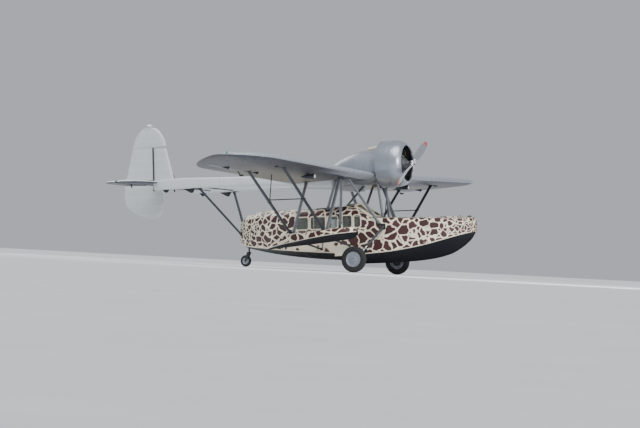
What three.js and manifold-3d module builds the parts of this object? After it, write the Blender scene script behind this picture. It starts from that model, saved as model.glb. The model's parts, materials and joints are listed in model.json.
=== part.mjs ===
// A high-wing amphibious flying boat of about 1930, with one radial engine ahead of the wing.
// Its boat hull hangs under the wing on struts, two booms carry the tail, and two floats
// stand on strut frames beside the hull. It is parked on its wheels, nose 5 degrees up.
// Millimetres. Inside the airframe group +X is forward, +Y is the pilot's left, +Z is up,
// and the datum is the wing's leading edge on the centreline.
import * as THREE from "three";
import { mergeVertices } from "three/addons/utils/BufferGeometryUtils.js";
import Module from "manifold-3d";

const wasm = await Module();
wasm.setup();

// Driving dimensions
const GAP = 0.4; // between a piece and what it is seated on
const ROUND = 24; // sides of a round piece
const PARKED_PITCH = THREE.MathUtils.degToRad(5);

const CHORD = 1900;
const WING_THICK = 0.12; // of the chord
const WING_CAMBER = { height: 0.03, peak: 0.4 }; // of the chord
const SECTION_STEPS = 9; // corners along each side of the wing's section
const TRAILING_EDGE = 2.5; // half its thickness
const INCIDENCE = THREE.MathUtils.degToRad(5.7);
const DIHEDRAL = 0.0248; // rise for each millimetre outward
const HALF_SPAN = 7925;
const TIP_START = 6600; // where the rounded tip begins
const TIP_AXIS_X = -1000; // the tip's curve closes towards this line
const TIP_FULL = 0.992; // of the tip's curve, where its last section stands
const WING_REACH = { rear: -2200, low: -400, high: 600 }; // beyond the wing behind the ailerons
const CENTRE_PANEL_Y = 1300;
const FRONT_SPAR_X = -540;
const REAR_SPAR_X = -1440;
const AILERON = { hingeX: -1560, inner: 4000, outer: 7100, nose: 47, cove: 60, endGap: 12 };
const LANDING_LAMP = { x: -650, y: 3200, drop: 75, stem: 120, deep: 60, thick: 24 };

const BOOM_Y = 1130;
const FLOAT_Y = 2570;
const STRUT_TOP_Y = 5090;
const INNER_STRUT_TOP_Y = 1420;
const FRONT_FOOT = { x: -500, z: -1450 }; // where the struts stand on a float
const REAR_FOOT = { x: -1400, z: -1490 };
const FOOT_SPREAD = 55; // each way from the float's middle
const JURY = { tube: 26, sides: 8, rise: 60, lean: 100, sink: 30 };
const SPREADER = { tube: 48, diagonal: 30, inner: 200, hullY: 640, drop: 190 };

const WALL = 40; // the hull's frames and skin together
const HULL_REACH = { x: 4000, y: 900, low: -2500, high: 0 }; // beyond the hull each way
const DECK_ANGLES = [22.5, 45, 67.5].map(THREE.MathUtils.degToRad); // corners of the oval deck
const CABIN_NOSE_X = 60; // panel joint between the bow and the cabin
const CABIN_TAIL_X = -2200;
const CABIN_FLOOR_Z = -1815;
const WINDOW = { top: -990, bottom: -1290, corner: 40 };
const WINDSCREEN = { front: -150, rear: -540, post: 28, frontY: 520, rearY: 400, top: -600 };
const GLASS = 5;
const PORTHOLE = { x: -3270, z: -1190, radius: 85, depth: 405 };
const HATCH = { front: -870, middle: -1255, rear: -1640, half: 320, thick: 18, lap: 20, bar: 15 };
const BOW_HATCH = { front: 2130, rear: 1680, half: 200, floor: -1380, lap: 25, thick: 16 };
const MOORING_PAD = { front: 2390, rear: 2300, half: 40, top: -1120, bottom: -1190 };
const SEAT = { half: 230, base: 200, inset: 30, top: -1440, bottom: -1560, backTop: -1000 };
const PANEL = { front: -80, rear: -110, half: 440, top: -1120, bottom: -1420 };

const THRUST_Z = 295;
const COWL = { front: 735, rear: 60, outer: 590, inner: 566, mouth: 455, sides: 36 };
const FIREWALL = { front: 190, rear: 20, radius: 180 };
const ENGINE = { cylinders: 9, plane: 400, caseFront: 560, caseRadius: 215, reach: 540, bore: 82 };
const BRACKET = { radius: 14, sides: 8, root: 20 }; // from each cylinder's head to the cowl ring
const PROP = { x: 860, radius: 1220, hub: 75, back: 60, rest: 62 }; // rest in degrees
const BLADE_SIDES = 12;

const TAIL_HINGE_X = -6380;
const TAILPLANE_Z = 75;
const TAIL_HINGE = { nose: 30, cove: 41 };
const TAIL_REACH = { rear: -7300, y: 2400, low: -300, high: 400 }; // beyond the tailplane
const RUDDER_WELL = 430; // half the space between the elevators
const ELEVATOR_NOSE_END = 2200; // y, where its round leading edge ends
const HORN = { y: 1290, half: 6, length: 120 }; // the elevators' control horns
const HINGE = { pin: 8, bore: 8.8, sides: 8, reach: 26, lug: 12, slot: 26, behind: 10, clear: 22 };
const AILERON_HINGES = [4700, 6400]; // y
const ELEVATOR_HINGES = [700, 1850]; // y
const RUDDER_HINGES = [260, 880]; // z

const MAIN_WHEEL = { x: -200, y: 1500, z: -2130, radius: 330, width: 130, bore: 25, sides: 32 };
const TAIL_WHEEL = { x: -3800, y: 0, radius: 150, width: 60, bore: 10, sides: 24 };
const TAIL_POST = { x: -3700, radius: 22, top: -1560, room: 0.7, above: 2 };
const FORK = { plate: 9, clear: 8, crownZ: -1790, front: 40, rear: 50, foot: 28 };
const GEAR = {
  lowerRoot: [-260, 650, -1930],
  shockRoot: [280, 645, -1310],
  lower: [95, 60],
  shock: 62,
  boss: { radius: 62, inner: 55, outer: 10 },
  knuckle: 50,
  axleEnd: 12,
};
const BORE_ROOM = 0.6; // between an axle and the wheel that turns on it

// A wheel rests on one flat of its rim, and both axles stand over one level floor.
const axleHeight = ({ radius, sides }) => radius * Math.cos(Math.PI / sides);
TAIL_WHEEL.z =
  MAIN_WHEEL.z +
  ((MAIN_WHEEL.x - TAIL_WHEEL.x) * Math.sin(PARKED_PITCH) -
    axleHeight(MAIN_WHEEL) +
    axleHeight(TAIL_WHEEL)) /
    Math.cos(PARKED_PITCH);

const TIE_DOWN = { x: FRONT_SPAR_X, y: 5400, half: 35, z: -10 }; // lowest face under each wing

// Colours
const finish = (colour, roughness, metalness) =>
  new THREE.MeshStandardMaterial({ color: colour, roughness, metalness });
const PAINT = {
  hull: finish("#cdbb92", 0.45, 0),
  silver: finish("#a9aeb4", 0.45, 0.5),
  strut: finish("#5c6670", 0.5, 0.4),
  engine: finish("#3b3d3f", 0.6, 0.6),
  blade: finish("#c3c7ca", 0.3, 0.9),
  glass: finish("#7f8c88", 0.1, 0),
  smoke: finish("#24272b", 0.2, 0),
  leather: finish("#5b3a28", 0.7, 0),
  panel: finish("#26282a", 0.6, 0.1),
  tyre: finish("#1d1e20", 0.85, 0),
};

// Geometry helpers

function solid(geometry) {
  const bare = geometry.clone();
  bare.deleteAttribute("normal");
  bare.deleteAttribute("uv");
  const merged = mergeVertices(bare, 1e-3);
  const mesh = new wasm.Mesh({
    numProp: 3,
    vertProperties: new Float32Array(merged.attributes.position.array),
    triVerts: new Uint32Array(merged.index.array),
  });
  return new wasm.Manifold(mesh);
}

function geometryOf(body) {
  const { vertProperties, triVerts } = body.getMesh();
  const geometry = new THREE.BufferGeometry()
    .setAttribute("position", new THREE.BufferAttribute(vertProperties, 3))
    .setIndex(new THREE.BufferAttribute(triVerts, 1));
  geometry.computeVertexNormals();
  return geometry;
}

// A skin over rings of points that all have the same number of points, with flat ends.
function loft(rings) {
  const count = rings[0].length;
  const points = rings.flat();
  const faces = [];
  for (let r = 0; r + 1 < rings.length; r++) {
    for (let i = 0; i < count; i++) {
      const a = r * count + i;
      const b = r * count + ((i + 1) % count);
      faces.push(a, b, b + count, a, b + count, a + count);
    }
  }
  for (const r of [0, rings.length - 1]) {
    const hub = points.length;
    const middle = rings[r].reduce((sum, p) => sum.add(p), new THREE.Vector3());
    points.push(middle.divideScalar(count));
    for (let i = 0; i < count; i++) {
      const a = r * count + i;
      const b = r * count + ((i + 1) % count);
      if (r === 0) faces.push(b, a, hub);
      else faces.push(a, b, hub);
    }
  }
  if (signedVolume(points, faces) < 0) faces.reverse();
  const positions = new Float32Array(points.flatMap((p) => [p.x, p.y, p.z]));
  return new wasm.Manifold(
    new wasm.Mesh({ numProp: 3, vertProperties: positions, triVerts: new Uint32Array(faces) }),
  );
}

function signedVolume(points, faces) {
  let volume = 0;
  for (let i = 0; i < faces.length; i += 3) {
    const [a, b, c] = [points[faces[i]], points[faces[i + 1]], points[faces[i + 2]]];
    volume += a.dot(new THREE.Vector3().crossVectors(b, c));
  }
  return volume;
}

const at = (x, y, z) => new THREE.Vector3(x, y, z);
const mirrored = (body) => body.mirror([0, 1, 0]);
const moved = (body, x, y, z) => body.translate([x, y, z]);

function box(x0, x1, y0, y1, z0, z1) {
  const block = new THREE.BoxGeometry(Math.abs(x1 - x0), Math.abs(y1 - y0), Math.abs(z1 - z0));
  return solid(block.translate((x0 + x1) / 2, (y0 + y1) / 2, (z0 + z1) / 2));
}

// A box with the given reach along x from a point, and half sizes y and z each way from it.
function boxAround(point, [x0, x1], y, z) {
  return box(point.x + x0, point.x + x1, point.y - y, point.y + y, point.z - z, point.z + z);
}

// A bar of oval section from one point to another: deep is its size along the flight line.
function bar(from, to, deep, thick, sides = 12) {
  const along = to.clone().sub(from);
  const length = along.length();
  along.normalize();
  const fore = at(1, 0, 0).addScaledVector(along, -along.x);
  if (fore.lengthSq() < 1e-3) fore.set(0, 0, 1);
  fore.normalize();
  const across = new THREE.Vector3().crossVectors(fore, along);
  const geometry = new THREE.CylinderGeometry(0.5, 0.5, length, sides);
  geometry.scale(deep, 1, thick);
  const middle = from.clone().lerp(to, 0.5);
  const place = new THREE.Matrix4().makeBasis(fore, along, across).setPosition(middle);
  return solid(geometry.applyMatrix4(place));
}

// A body of revolution about an axis along x or y, from a profile of [radius, distance] pairs.
function turned(profile, axis, centre, sides = ROUND) {
  const geometry = new THREE.LatheGeometry(
    profile.map(([radius, along]) => new THREE.Vector2(radius, along)),
    sides,
  );
  if (axis === "x") geometry.rotateZ(-Math.PI / 2);
  if (axis === "z") geometry.rotateX(Math.PI / 2);
  const body = solid(geometry);
  const shape = body.volume() < 0 ? solid(turnedInsideOut(geometry)) : body;
  return moved(shape, centre.x, centre.y, centre.z);
}

// The same surface with each triangle's order turned round
function turnedInsideOut(geometry) {
  const order = geometry.index.array;
  for (let i = 0; i < order.length; i += 3) {
    [order[i + 1], order[i + 2]] = [order[i + 2], order[i + 1]];
  }
  return geometry;
}

// A rod between two points on one axis.
const rod = (from, to, radius, sides = ROUND) => bar(from, to, radius * 2, radius * 2, sides);

function prism(outline, depth) {
  const shape = new THREE.Shape(outline.map(([u, v]) => new THREE.Vector2(u, v)));
  return new THREE.ExtrudeGeometry(shape, { depth, bevelEnabled: false, steps: 1 });
}

// An outline in the side view, given as [x, z] pairs, drawn across from y0 to y1.
function sideProfile(outline, y0, y1) {
  return solid(prism(outline, y1 - y0).rotateX(Math.PI / 2).translate(0, y1, 0));
}

// An outline in the plan view, given as [x, y] pairs, drawn up from z0 to z1.
function planProfile(outline, z0, z1) {
  return solid(prism(outline, z1 - z0).translate(0, 0, z0));
}

// Cuts a piece where it meets what carries it, with the seating gap along the way given.
function seated(piece, carrier, away) {
  const step = away.clone().normalize().multiplyScalar(GAP);
  return piece.subtract(moved(carrier, step.x, step.y, step.z));
}

// A hinge at a point of the axis line: a lug and its pin on the fixed side, which stands in a
// slot and a bore of the moving surface. The axis runs along "line", and the lug comes from +X.
function hingeLug(point, line, cove) {
  const { pin, sides, reach, lug, behind } = HINGE;
  const half = pin + 4;
  const upright = Math.abs(line.z) > Math.abs(line.y);
  const [y, z] = upright ? [half, lug / 2] : [lug / 2, half];
  const plate = boxAround(point, [-behind, cove + 12], y, z);
  const ends = [-reach, reach].map((way) => point.clone().addScaledVector(line, way));
  return plate.add(rod(ends[0], ends[1], pin, sides));
}

function hingeSlot(point, line, cove) {
  const { bore, sides, reach, slot, clear } = HINGE;
  const wide = cove + 20;
  const upright = Math.abs(line.z) > Math.abs(line.y);
  const [y, z] = upright ? [wide, slot / 2] : [slot / 2, wide];
  const cut = boxAround(point, [-clear, wide], y, z);
  const ends = [-reach - 1, reach + 1].map((way) => point.clone().addScaledVector(line, way));
  return cut.add(rod(ends[0], ends[1], bore, sides));
}

const withLugs = (body, points, line, cove) =>
  points.reduce((sum, point) => sum.add(hingeLug(point, line, cove)), body);
const withSlots = (body, points, line, cove) =>
  points.reduce((rest, point) => rest.subtract(hingeSlot(point, line, cove)), body);

// Keeps only the largest body, after a cut that leaves the hidden end of a piece loose.
function largest(body) {
  return body.decompose().reduce((a, b) => (b.volume() > a.volume() ? b : a));
}

// A box that takes in the whole hull between two places along the flight line and two heights
function hullSlice(x0, x1, z0 = HULL_REACH.low, z1 = HULL_REACH.high) {
  return box(x0, x1, -HULL_REACH.y, HULL_REACH.y, z0, z1);
}

// Boat sections: keel, chine, sheer and an oval deck, joined from station to station
function boatRing(s, inset) {
  const sheerY = Math.max(s.sheerY - inset, 4);
  const chineY = Math.max(s.chineY - inset, 3);
  const deckZ = s.deckZ - inset;
  const rise = deckZ - s.sheerZ;
  const half = [
    [0, s.keelZ + inset * 1.1],
    [chineY, s.chineZ + inset * 0.6],
    [sheerY, s.sheerZ],
  ];
  for (const angle of DECK_ANGLES) {
    half.push([sheerY * Math.cos(angle), s.sheerZ + rise * Math.sin(angle)]);
  }
  return [...half, [0, deckZ]].map(([y, z]) => at(s.x, y, z));
}

// The left half is lofted and mirrored, so both sides are alike.
function boat(rows, centreY = 0, inset = 0) {
  const names = ["x", "keelZ", "chineZ", "chineY", "sheerZ", "sheerY", "deckZ"];
  const stations = rows.map((row) => Object.fromEntries(row.map((v, i) => [names[i], v])));
  const half = loft(stations.map((s) => boatRing(s, inset)));
  return moved(half.add(mirrored(half)), 0, centreY, 0);
}

// Hull

// Columns: x, keelZ, chineZ, chineY, sheerZ, sheerY, deckZ
const FOREBODY = [
  [2480, -1545, -1515, 90, -1205, 110, -1155],
  [2395, -1670, -1540, 230, -1200, 265, -1145],
  [2150, -1870, -1603, 370, -1190, 395, -1135],
  [1820, -2035, -1690, 480, -1178, 495, -1120],
  [1370, -2130, -1800, 580, -1150, 580, -1097],
  [900, -2170, -1882, 635, -1127, 630, -1078],
  [350, -2185, -1945, 660, -1100, 650, -1058],
  [-50, -2185, -1968, 662, -1080, 650, -1040],
  [-310, -2184, -1980, 662, -958, 650, -860],
  [-600, -2183, -1990, 662, -955, 650, -660],
  [-850, -2182, -1999, 662, -950, 650, -672],
  [-866, -2182, -1999, 662, -950, 650, -735],
  [-1050, -2180, -2004, 662, -950, 650, -738],
];
const AFTERBODY = [
  [-1050, -2085, -1925, 662, -950, 650, -738],
  [-1700, -2030, -1872, 655, -955, 650, -745],
  [-2200, -1970, -1825, 620, -965, 640, -740],
  [-2800, -1880, -1760, 510, -990, 570, -735],
  [-3200, -1800, -1705, 400, -1010, 480, -745],
  [-3450, -1740, -1675, 310, -1040, 380, -785],
  [-3720, -1665, -1620, 190, -1110, 240, -860],
  [-3885, -1560, -1530, 75, -1200, 105, -1030],
  [-3930, -1400, -1385, 25, -1300, 30, -1270],
];

const wholeHull = boat(FOREBODY).add(boat(AFTERBODY));

function cabinSpace(inset) {
  const inside = boat(FOREBODY, 0, inset).add(boat(AFTERBODY, 0, inset));
  const floor = CABIN_FLOOR_Z + inset - WALL;
  return inside.intersect(hullSlice(CABIN_TAIL_X + inset, CABIN_NOSE_X - inset, floor));
}

// Everything above the sheer line, raised by the gap for the roof's own side.
function aboveSheer(raise) {
  const { y: wide, high } = HULL_REACH;
  const rows = [...FOREBODY, ...AFTERBODY.slice(1)];
  return loft(
    rows.map(([x, , , , sheerZ]) => [
      at(x, -wide, sheerZ + raise),
      at(x, wide, sheerZ + raise),
      at(x, wide, high),
      at(x, -wide, high),
    ]),
  );
}

// Columns: rear x, front x
const SIDE_WINDOWS = [
  [-2110, -1760],
  [-1700, -1290],
  [-1225, -955],
  [-835, -570],
  [-515, -335],
];

function roundedPane(x0, x1) {
  const { top, bottom, corner } = WINDOW;
  const shape = new THREE.Shape();
  shape.absarc(x1 - corner, top - corner, corner, 0, Math.PI / 2, false);
  shape.absarc(x0 + corner, top - corner, corner, Math.PI / 2, Math.PI, false);
  shape.absarc(x0 + corner, bottom + corner, corner, Math.PI, Math.PI * 1.5, false);
  shape.absarc(x1 - corner, bottom + corner, corner, Math.PI * 1.5, Math.PI * 2, false);
  const outline = shape.getPoints(3).map((p) => [p.x, p.y]);
  return sideProfile(dropRepeats(outline), -HULL_REACH.y, HULL_REACH.y);
}

function dropRepeats(outline) {
  return outline.filter(([x, z], i) => {
    const [px, pz] = outline[(i + outline.length - 1) % outline.length];
    return Math.hypot(x - px, z - pz) > 0.5;
  });
}

const CABIN_ENDS = [CABIN_TAIL_X + GAP, CABIN_NOSE_X - GAP];

function hullBow() {
  const { front, rear, half, floor } = BOW_HATCH;
  const locker = box(rear, front, -half, half, floor, HULL_REACH.high);
  const { half: padHalf, top, bottom: padBottom } = MOORING_PAD;
  const pad = box(MOORING_PAD.rear, MOORING_PAD.front, -padHalf, padHalf, padBottom, top);
  return wholeHull.intersect(hullSlice(CABIN_NOSE_X, HULL_REACH.x)).subtract(locker).add(pad);
}

function cabinBottom() {
  return wholeHull.intersect(hullSlice(...CABIN_ENDS, HULL_REACH.low, CABIN_FLOOR_Z));
}

// The cabin's four walls, from its floor to the sheer line
function hullCabin() {
  let body = wholeHull
    .intersect(hullSlice(...CABIN_ENDS))
    .intersect(hullSlice(-HULL_REACH.x, HULL_REACH.x, CABIN_FLOOR_Z + GAP))
    .subtract(aboveSheer(0))
    .subtract(cabinSpace(WALL));
  for (const [rear, front] of SIDE_WINDOWS) body = body.subtract(roundedPane(rear, front));
  return body;
}

function hullAft() {
  const { x, z, radius, depth } = PORTHOLE;
  const portholes = [1, -1].map((side) =>
    rod(at(x, side * depth, z), at(x, side * HULL_REACH.y, z), radius),
  );
  const socket = rod(
    at(TAIL_POST.x, 0, FORK.crownZ),
    at(TAIL_POST.x, 0, TAIL_POST.top + TAIL_POST.above),
    TAIL_POST.radius + TAIL_POST.room,
  );
  return wholeHull
    .intersect(hullSlice(-HULL_REACH.x, CABIN_TAIL_X))
    .subtract(portholes[0])
    .subtract(portholes[1])
    .subtract(socket);
}

function cabinRoof() {
  const { front, middle, rear, half, bar: halfBar } = HATCH;
  const panes = [1, -1].map((side) => {
    const outline = [
      [WINDSCREEN.front, side * WINDSCREEN.post],
      [WINDSCREEN.front, side * WINDSCREEN.frontY],
      [WINDSCREEN.rear, side * WINDSCREEN.rearY],
      [WINDSCREEN.rear, side * WINDSCREEN.post],
    ];
    return planProfile(outline, HULL_REACH.low, WINDSCREEN.top);
  });
  return wholeHull
    .intersect(hullSlice(...CABIN_ENDS))
    .intersect(aboveSheer(GAP))
    .subtract(cabinSpace(WALL))
    .subtract(panes[0])
    .subtract(panes[1])
    .subtract(box(middle + halfBar, front, -half, half, WINDOW.top, HULL_REACH.high))
    .subtract(box(rear, middle - halfBar, -half, half, WINDOW.top, HULL_REACH.high));
}

// A lid is a plate that follows the deck just above it and laps its opening.
function deckLid(x0, x1, half, thick) {
  return moved(wholeHull, 0, 0, GAP + thick)
    .intersect(box(x0, x1, -half, half, BOW_HATCH.floor, HULL_REACH.high))
    .subtract(moved(wholeHull, 0, 0, GAP));
}

function bowHatch() {
  const { front, rear, half, lap, thick } = BOW_HATCH;
  return deckLid(rear - lap, front + lap, half + lap, thick);
}

const roofHatch = (x0, x1) => deckLid(x0, x1, HATCH.half + HATCH.lap, HATCH.thick);

// Glazing lies against the inside of the wall.
function glazing(x0, x1, y0, y1, z0, z1) {
  return cabinSpace(WALL + GAP)
    .subtract(cabinSpace(WALL + GAP + GLASS))
    .intersect(box(x0, x1, y0, y1, z0, z1));
}

// Cabin fittings

function seat(x, wide) {
  const { half, base, inset, top, bottom: under, backTop } = SEAT;
  const cushion = box(x - half, x + half, -wide, wide, under, top);
  const [floor, inner] = [CABIN_FLOOR_Z + GAP, wide - inset];
  const stand = box(x - base, x + base, -inner, inner, floor, under + 10);
  const back = sideProfile(
    [
      [x - 170, under],
      [x - 260, backTop],
      [x - 340, backTop],
      [x - 260, under],
    ],
    -wide,
    wide,
  );
  return cushion.add(stand).add(back);
}

function instrumentPanel() {
  const { front, rear, half, top, bottom: low } = PANEL;
  const board = box(rear, front, -half, half, low, top);
  const stand = box(rear, front + 10, -60, 60, CABIN_FLOOR_Z + GAP, low + 20);
  const column = bar(at(-90, 0, -1330), at(-330, 0, -1290), 34, 34);
  const yoke = box(-345, -320, -230, 230, -1310, -1270);
  return board.add(stand).add(column).add(yoke);
}

// Wing

// The section's height above the chord line at a fraction of the chord, on its middle and skin.
function wingSection(fraction) {
  const { height, peak } = WING_CAMBER;
  const side = fraction < peak ? peak : 1 - peak;
  const start = fraction < peak ? 0 : 1 - 2 * peak;
  const middle = (height / side ** 2) * (start + 2 * peak * fraction - fraction ** 2);
  const half =
    5 *
    WING_THICK *
    (0.2969 * Math.sqrt(fraction) -
      0.126 * fraction -
      0.3516 * fraction ** 2 +
      0.2843 * fraction ** 3 -
      0.1036 * fraction ** 4);
  return { middle, half };
}

// The height of the wing's middle, and half its thickness, at a place inboard of the tip.
function wingAt(x, y) {
  const fraction = -x / CHORD;
  const { middle, half } = wingSection(fraction);
  const chordZ = x * Math.sin(INCIDENCE) + Math.abs(y) * DIHEDRAL;
  return { z: chordZ + middle * CHORD, half: half * CHORD };
}

function wingRing(y) {
  const past = (Math.abs(y) - TIP_START) / (HALF_SPAN - TIP_START);
  const out = THREE.MathUtils.clamp(past, 0, TIP_FULL);
  const size = Math.sqrt(1 - out ** 2);
  const lead = TIP_AXIS_X * (1 - size);
  const chord = CHORD * size;
  const ring = [];
  const point = (fraction, side) => {
    const { middle, half } = wingSection(fraction);
    const blunt = fraction === 1 ? TRAILING_EDGE : 0;
    const x = lead - chord * fraction;
    const chordZ = -chord * fraction * Math.sin(INCIDENCE) + Math.abs(y) * DIHEDRAL;
    return at(x, y, chordZ + middle * chord + side * (half * chord + blunt));
  };
  for (let i = 0; i <= SECTION_STEPS; i++) {
    ring.push(point((1 - Math.cos((Math.PI * i) / SECTION_STEPS)) / 2, 1));
  }
  for (let i = SECTION_STEPS; i > 0; i--) {
    ring.push(point((1 - Math.cos((Math.PI * i) / SECTION_STEPS)) / 2, -1));
  }
  return ring;
}

const wingCentre = () => loft([-CENTRE_PANEL_Y, 0, CENTRE_PANEL_Y].map(wingRing));

const outerWing = loft(
  [CENTRE_PANEL_Y + GAP, 4000, TIP_START, 6950, 7300, 7600, 7800, HALF_SPAN].map(wingRing),
);

const WING_LINE = at(0, 1, DIHEDRAL).normalize();

function aileronAxis(y) {
  return at(AILERON.hingeX, y, wingAt(AILERON.hingeX, y).z);
}

function outerWingPanel() {
  const { hingeX, inner, outer, cove } = AILERON;
  const { rear, low, high } = WING_REACH;
  const well = rod(aileronAxis(inner), aileronAxis(outer), cove).add(
    box(hingeX, rear, inner, outer, low, high),
  );
  const { x: lampX, y: lampY, drop, stem, deep, thick } = LANDING_LAMP;
  const lampAt = at(lampX, lampY, wingAt(lampX, lampY).z - wingAt(lampX, lampY).half - drop);
  const lamp = turned(
    [
      [0, -165],
      [34, -110],
      [58, 20],
      [60, 130],
      [50, 165],
      [0, 170],
    ],
    "x",
    lampAt,
    16,
  ).add(bar(lampAt, at(lampX, lampY, lampAt.z + stem), deep, thick));
  const { x, y, half, z } = TIE_DOWN;
  const tieDown = box(x - half, x + half, y - half, y + half, z, wingAt(x, y).z);
  const panel = largest(outerWing.subtract(well)).add(lamp).add(tieDown);
  return withLugs(panel, AILERON_HINGES.map(aileronAxis), WING_LINE, cove);
}

function aileron() {
  const { hingeX, inner, outer, nose, endGap } = AILERON;
  const { rear, low, high } = WING_REACH;
  const blade = box(hingeX, rear, inner + endGap, outer - endGap, low, high);
  const front = rod(aileronAxis(inner + endGap), aileronAxis(outer - endGap), nose);
  const body = outerWing.intersect(blade.add(front));
  return withSlots(body, AILERON_HINGES.map(aileronAxis), WING_LINE, AILERON.cove);
}

// Engine group

function nacelle(carrier) {
  // Columns: x, width radius, centre z, height radius
  const rows = [
    [COWL.rear - 20, 430, 270, 425],
    [-150, 440, 240, 450],
    [-450, 430, 220, 445],
    [-720, 380, 210, 405],
    [-1000, 300, 200, 300],
    [-1250, 210, 130, 230],
    [-1550, 110, 20, 130],
    [-1860, 30, -110, 40],
  ];
  const rings = rows.map(([x, wide, z, high]) => {
    const ring = [];
    for (let i = 0; i <= ROUND / 2; i++) {
      const a = (i * 2 * Math.PI) / ROUND;
      const y = i === ROUND / 2 ? 0 : wide * Math.sin(a);
      ring.push(at(x, y, z + high * Math.cos(a)));
    }
    return ring;
  });
  const half = loft(rings);
  const { front, rear, radius } = FIREWALL;
  const firewall = rod(at(rear, 0, THRUST_Z), at(front, 0, THRUST_Z), radius);
  const scoop = loft(
    [
      [-330, 30, 655, 690],
      [-280, 60, 650, 755],
      [-70, 70, 640, 790],
    ].map(([x, wide, low, high]) => [
      at(x, -wide, low),
      at(x, wide, low),
      at(x, wide * 0.6, high),
      at(x, -wide * 0.6, high),
    ]),
  );
  const whole = half.add(mirrored(half)).add(firewall).add(scoop);
  const wingStep = [at(0, 0, 1), at(0, 0, -1), at(1, 0, 0)];
  return largest(wingStep.reduce((piece, away) => seated(piece, carrier, away), whole));
}

function cowl() {
  const { front, rear, outer, inner, mouth, sides } = COWL;
  const ring = turned(
    [
      [inner, rear],
      [inner, 430],
      [inner - 45, 620],
      [mouth, 690],
      [mouth - 8, 715],
      [mouth + 8, front],
      [mouth + 60, front - 20],
      [outer - 30, 610],
      [outer, 420],
      [outer - 5, rear],
      [inner, rear],
    ],
    "x",
    at(0, 0, 0),
    sides,
  );
  const flatOnTop = 180 / sides; // a flat of the ring at each cylinder
  return moved(ring.rotate([flatOnTop, 0, 0]), 0, 0, THRUST_Z);
}

function engine() {
  const { cylinders, plane, caseFront, caseRadius, reach, bore } = ENGINE;
  const behindHub = PROP.x - PROP.back - GAP;
  const gearCase = turned(
    [
      [0, caseFront - 20],
      [170, caseFront - 20],
      [150, 650],
      [95, 720],
      [60, 740],
      [45, behindHub],
      [0, behindHub],
    ],
    "x",
    at(0, 0, THRUST_Z),
  );
  const rear = at(FIREWALL.front + GAP, 0, THRUST_Z);
  let body = rod(rear, at(caseFront, 0, THRUST_Z), caseRadius).add(gearCase);
  const bracketEnd = COWL.inner * Math.cos(Math.PI / COWL.sides) - GAP;
  for (let i = 0; i < cylinders; i++) {
    const angle = (i * 2 * Math.PI) / cylinders;
    const out = at(0, Math.sin(angle), Math.cos(angle));
    const centre = at(plane, 0, THRUST_Z);
    const reached = (distance) => centre.clone().addScaledVector(out, distance);
    const barrel = rod(reached(caseRadius - 40), reached(reach - 90), bore, 14);
    const head = rod(reached(reach - 110), reached(reach), bore * 0.8, 10);
    const foot = reached(reach - BRACKET.root);
    const bracket = rod(foot, reached(bracketEnd), BRACKET.radius, BRACKET.sides);
    body = body.add(barrel).add(head).add(bracket);
  }
  return body;
}

function propeller() {
  const { radius, hub, back } = PROP;
  // Columns: distance from the hub's axis, chord, thickness, twist in degrees
  const rows = [
    [40, 90, 85, 50],
    [160, 110, 70, 45],
    [380, 190, 40, 33],
    [700, 215, 26, 23],
    [1000, 180, 16, 17],
    [1150, 120, 10, 15],
    [radius, 40, 6, 14],
  ];
  const rings = rows.map(([out, chord, thick, degrees]) => {
    const turn = THREE.MathUtils.degToRad(degrees);
    const ring = [];
    for (let i = 0; i < BLADE_SIDES; i++) {
      const a = (i * 2 * Math.PI) / BLADE_SIDES;
      const u = (chord / 2) * Math.cos(a);
      const v = (thick / 2) * Math.sin(a);
      const [c, s] = [Math.cos(turn), Math.sin(turn)];
      ring.push(at(v * c + u * s, u * c - v * s, out));
    }
    return ring;
  });
  const blade = loft(rings);
  const boss = turned(
    [
      [0, -back],
      [hub, -back],
      [hub, 45],
      [48, 75],
      [42, 120],
      [20, 130],
      [0, 130],
    ],
    "x",
    at(0, 0, 0),
  );
  return boss.add(blade).add(blade.rotate([180, 0, 0]));
}

// Booms and tail

function boom(carriers) {
  // Columns: x, bottom z, top z, half width
  const rows = [
    [-880, -300, -60, 40],
    [-1250, -290, 10, 80],
    [-1900, -195, 75, 95],
    [-3390, -140, 105, 85],
    [-5300, -130, 150, 62],
    [-5820, -120, 120, 42],
  ];
  const rings = rows.map(([x, low, high, half]) => {
    const corner = half * 0.45;
    return [
      at(x, BOOM_Y - half + corner, low),
      at(x, BOOM_Y + half - corner, low),
      at(x, BOOM_Y + half, low + corner),
      at(x, BOOM_Y + half, high - corner),
      at(x, BOOM_Y + half - corner, high),
      at(x, BOOM_Y - half + corner, high),
      at(x, BOOM_Y - half, high - corner),
      at(x, BOOM_Y - half, low + corner),
    ];
  });
  let body = loft(rings);
  for (const carrier of carriers) {
    for (const away of [at(0, 0, -1), at(0, 0, 1), at(-1, 0, 0), at(1, 0, 0)]) {
      body = seated(body, carrier, away);
    }
  }
  return largest(body);
}

// Half the tail surfaces' thickness at a distance along the flight line. Columns: x, half
const TAIL_SECTION = [
  [-5620, 12],
  [-5740, 28],
  [-6010, 38],
  [-6380, 30],
  [-6760, 17],
  [-7240, 5],
];

function tailSlab(upright) {
  const out = TAIL_SECTION.map(([x, half]) => [x, half]);
  const back = TAIL_SECTION.slice().reverse().map(([x, half]) => [x, -half]);
  const ring = [...out, ...back];
  if (upright) return planProfile(ring, -1000, 1800);
  const { y } = TAIL_REACH;
  return sideProfile(ring.map(([x, half]) => [x, TAILPLANE_Z + half]), -y, y);
}

// Smooth outline through the corner points of a surface
function smoothOutline(points, steps) {
  const corners = points.map(([a, b]) => at(a, b, 0));
  const curve = new THREE.CatmullRomCurve3(corners, false, "centripetal");
  return curve.getPoints(steps).map((p) => [p.x, p.y]);
}

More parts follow.
